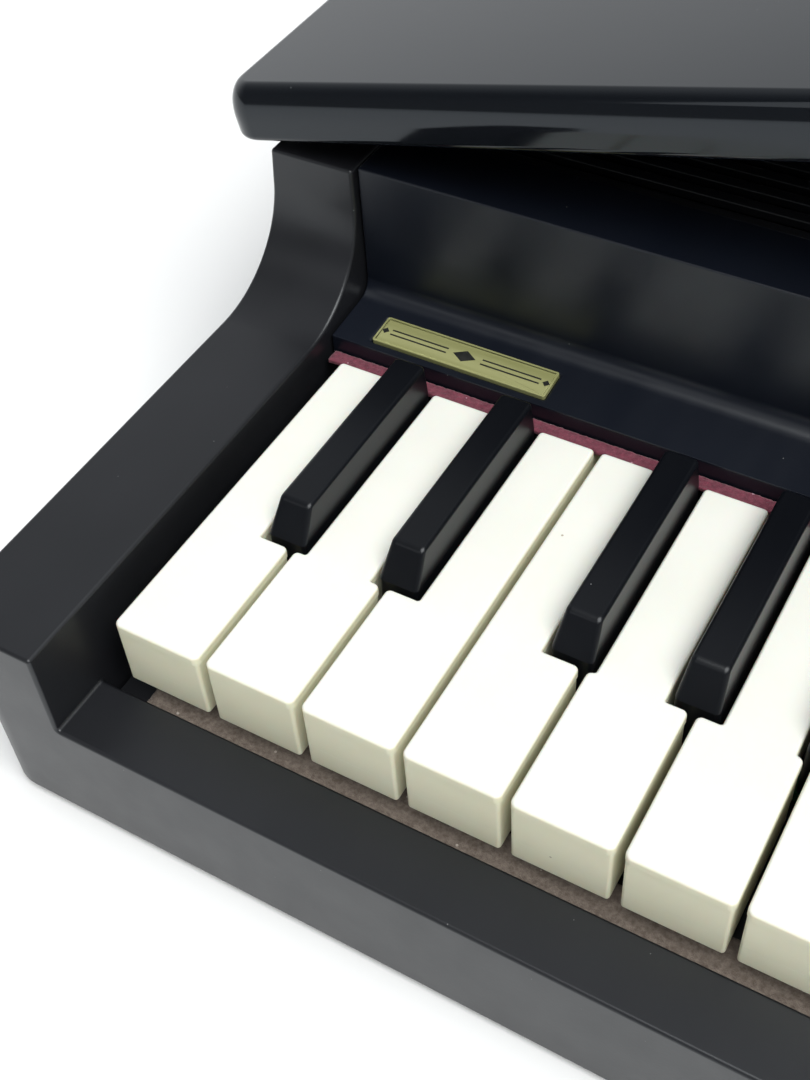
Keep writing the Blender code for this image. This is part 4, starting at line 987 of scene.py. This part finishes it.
def make_deck():
    """The low deck under the lid, with a riser along the back of the grille."""
    low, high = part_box("top_deck")
    deck_top = RIM_TOP - DECK_DROP
    front = low.y
    wide = CASE_HALF - FLANGE - 4 * MM
    ahead = boxes_mesh(((-CASE_HALF, CASE_FRONT, low.z - 5 * MM), (CASE_HALF, front, RIM_TOP)))
    riser = boxes_mesh(((-wide, front + 0.1 * MM, low.z + 1 * MM), (wide, front + 2 * MM, high.z)))
    plate = carved(prism_mesh(harp(-WALL - RIM_LEAN / 2 - GAP, BAND_BACK), low.z, deck_top),
                   (ahead, "DIFFERENCE"), (riser, "UNION"))
    piece("deck_panel", plate, "case", CASE_BLACK, "satin_black", ["top_deck"], 0.4 * MM, 3, 40.0)


# ---------------------------------------------------------------- lid and metalwork

def lid_turn():
    """From the closed place to the rest place, about the hinge axis."""
    return Matrix.Translation(LID_AXIS) @ Matrix.Rotation(-LID_OPEN, 4, "Y") @ Matrix.Translation(-LID_AXIS)


def make_lid():
    def build(work):
        def outline_at(_, inset):
            return harp(LID_OVERHANG - inset, LID_FRONT + inset, LID_CORNER - inset)
        loft(work, soft_levels(outline_at, LID_LOW, LID_LOW + LID_THICK, LID_LOWER_ROUND, LID_NOSE_HEIGHT,
                               LID_NOSE_DEPTH, 12))
    recess = prism_mesh(harp(LID_OVERHANG - LID_SKIRT, LID_FRONT + LID_SKIRT), LID_LOW - 5 * MM,
                        LID_LOW + LID_RECESS)
    pocket = boxes_mesh(((-CASE_HALF - 2 * LID_OVERHANG, HINGE_START - GAP, LID_LOW - 5 * MM),
                         (LID_AXIS.x + LEAF_WIDTH + GAP, HINGE_END + GAP, LID_LOW + LEAF_POCKET)))
    lid = carved(build_mesh("lid", build), (recess, "DIFFERENCE"), (pocket, "DIFFERENCE"))
    lid.transform(lid_turn())
    piece("lid_panel", lid, "lid", LID_BLACK, "gloss_black", ["lid"], angle=32.0)


CAD_FINISHES = {
    "base_plate": CASE_BLACK, "battery_cover": CASE_BLACK, "key_bed": CASE_BLACK,
    "battery_pack": SLEEVE, "contact_board": BOARD_GREEN, "main_board": BOARD_GREEN,
    "contact_rubber_strip": GREY_RUBBER, "key_retainer": STEEL, "hinge_leaf_case": STEEL,
    "hinge_leaf_lid": STEEL, "lid_stay": STEEL, "stay_bracket": STEEL, "stay_track": STEEL,
    "headphone_jack": CONTROL_BLACK, "power_jack": CONTROL_BLACK,
}


def finish_cad_nodes():
    """Give each CAD node whose own shape is shown its fine material."""
    for node, finish in CAD_FINISHES.items():
        shown = frame["nodes"][node]
        shown.data.materials.clear()
        shown.data.materials.append(finish)


# ---------------------------------------------------------------- studio

def make_studio():
    scene = bpy.context.scene
    floor = bpy.data.meshes.new("floor")
    work = bmesh.new()
    bmesh.ops.create_grid(work, x_segments=1, y_segments=1, size=6.0)
    work.to_mesh(floor)
    work.free()
    table = bpy.data.objects.new("floor", floor)
    scene.collection.objects.link(table)
    paint = Nodes("floor_white")
    shade = paint.mix(paint.noise(9.0, 4.0), (0.86, 0.88, 0.90), (0.90, 0.91, 0.92))
    paint.link(shade, paint.shader.inputs["Base Color"])
    paint.set(Roughness=0.7)
    table.data.materials.append(paint.material)

    world = bpy.data.worlds.new("studio")
    scene.world = world
    world.use_nodes = True
    nodes = world.node_tree.nodes
    links = world.node_tree.links
    background = nodes["Background"]
    coords = nodes.new("ShaderNodeTexCoord")
    height = nodes.new("ShaderNodeSeparateXYZ")
    links.new(coords.outputs["Generated"], height.inputs["Vector"])
    sky = nodes.new("ShaderNodeValToRGB")
    for position, level in SKY_LEVELS:
        stop = sky.color_ramp.elements.new(position)
        stop.color = (level * 0.97, level * 0.985, level, 1.0)
    for spare in (0, -1):
        sky.color_ramp.elements.remove(sky.color_ramp.elements[spare])
    links.new(height.outputs["Z"], sky.inputs["Fac"])
    links.new(sky.outputs["Color"], background.inputs["Color"])
    behind = nodes.new("ShaderNodeMapRange")
    behind.interpolation_type = "SMOOTHSTEP"
    behind.inputs["From Min"].default_value = -0.6
    behind.inputs["From Max"].default_value = 0.35
    behind.inputs["To Min"].default_value = SKY_FRONT
    behind.inputs["To Max"].default_value = SKY_BACK
    links.new(height.outputs["Y"], behind.inputs["Value"])
    links.new(behind.outputs["Result"], background.inputs["Strength"])

    def softbox(name, place, target, size, power, color=(1.0, 1.0, 1.0)):
        light = bpy.data.lights.new(name, "AREA")
        light.shape = "RECTANGLE"
        light.size, light.size_y = size
        light.energy = power
        light.color = color
        lamp = bpy.data.objects.new(name, light)
        lamp.location = place
        lamp.rotation_euler = (Vector(target) - Vector(place)).to_track_quat("-Z", "Y").to_euler()
        scene.collection.objects.link(lamp)
    softbox("high_front", (-1.05, -2.0, 1.55), (-0.1, -0.1, 0.05), (1.1, 0.8), 2.6)
    softbox("overhead", (1.0, -0.9, 2.7), (-0.1, 0.0, 0.0), (2.6, 2.2), 128.0, (1.0, 0.995, 0.97))

    view = bpy.data.cameras.new("camera")
    view.lens = CAMERA_LENS
    view.sensor_width = CAMERA_SENSOR
    view.clip_start = 0.01
    eye = bpy.data.objects.new("camera", view)
    eye.matrix_world = (Matrix.Translation(CAMERA_PLACE) @ Matrix.Rotation(CAMERA_AZIMUTH, 4, "Z")
                        @ Matrix.Rotation(math.pi / 2 - CAMERA_ELEVATION, 4, "X")
                        @ Matrix.Rotation(CAMERA_ROLL, 4, "Z"))
    scene.collection.objects.link(eye)
    scene.camera = eye
    scene.view_settings.view_transform = "Standard"


make_studio()
make_case()
make_base()
make_keyboard()
felt_strip("nameboard_felt_strip", "nameboard_felt", RED_FELT, "red_felt", 0.22 * MM, 0.09 * MM)
felt_strip("front_rail_felt_strip", "front_rail_felt", BROWN_FELT, "brown_felt", 0.4 * MM, 0.12 * MM)
make_fallboard()
make_name_plate()
make_grille()
make_control_panel()
make_controls()
make_speakers()
make_deck()
make_lid()
finish_cad_nodes()
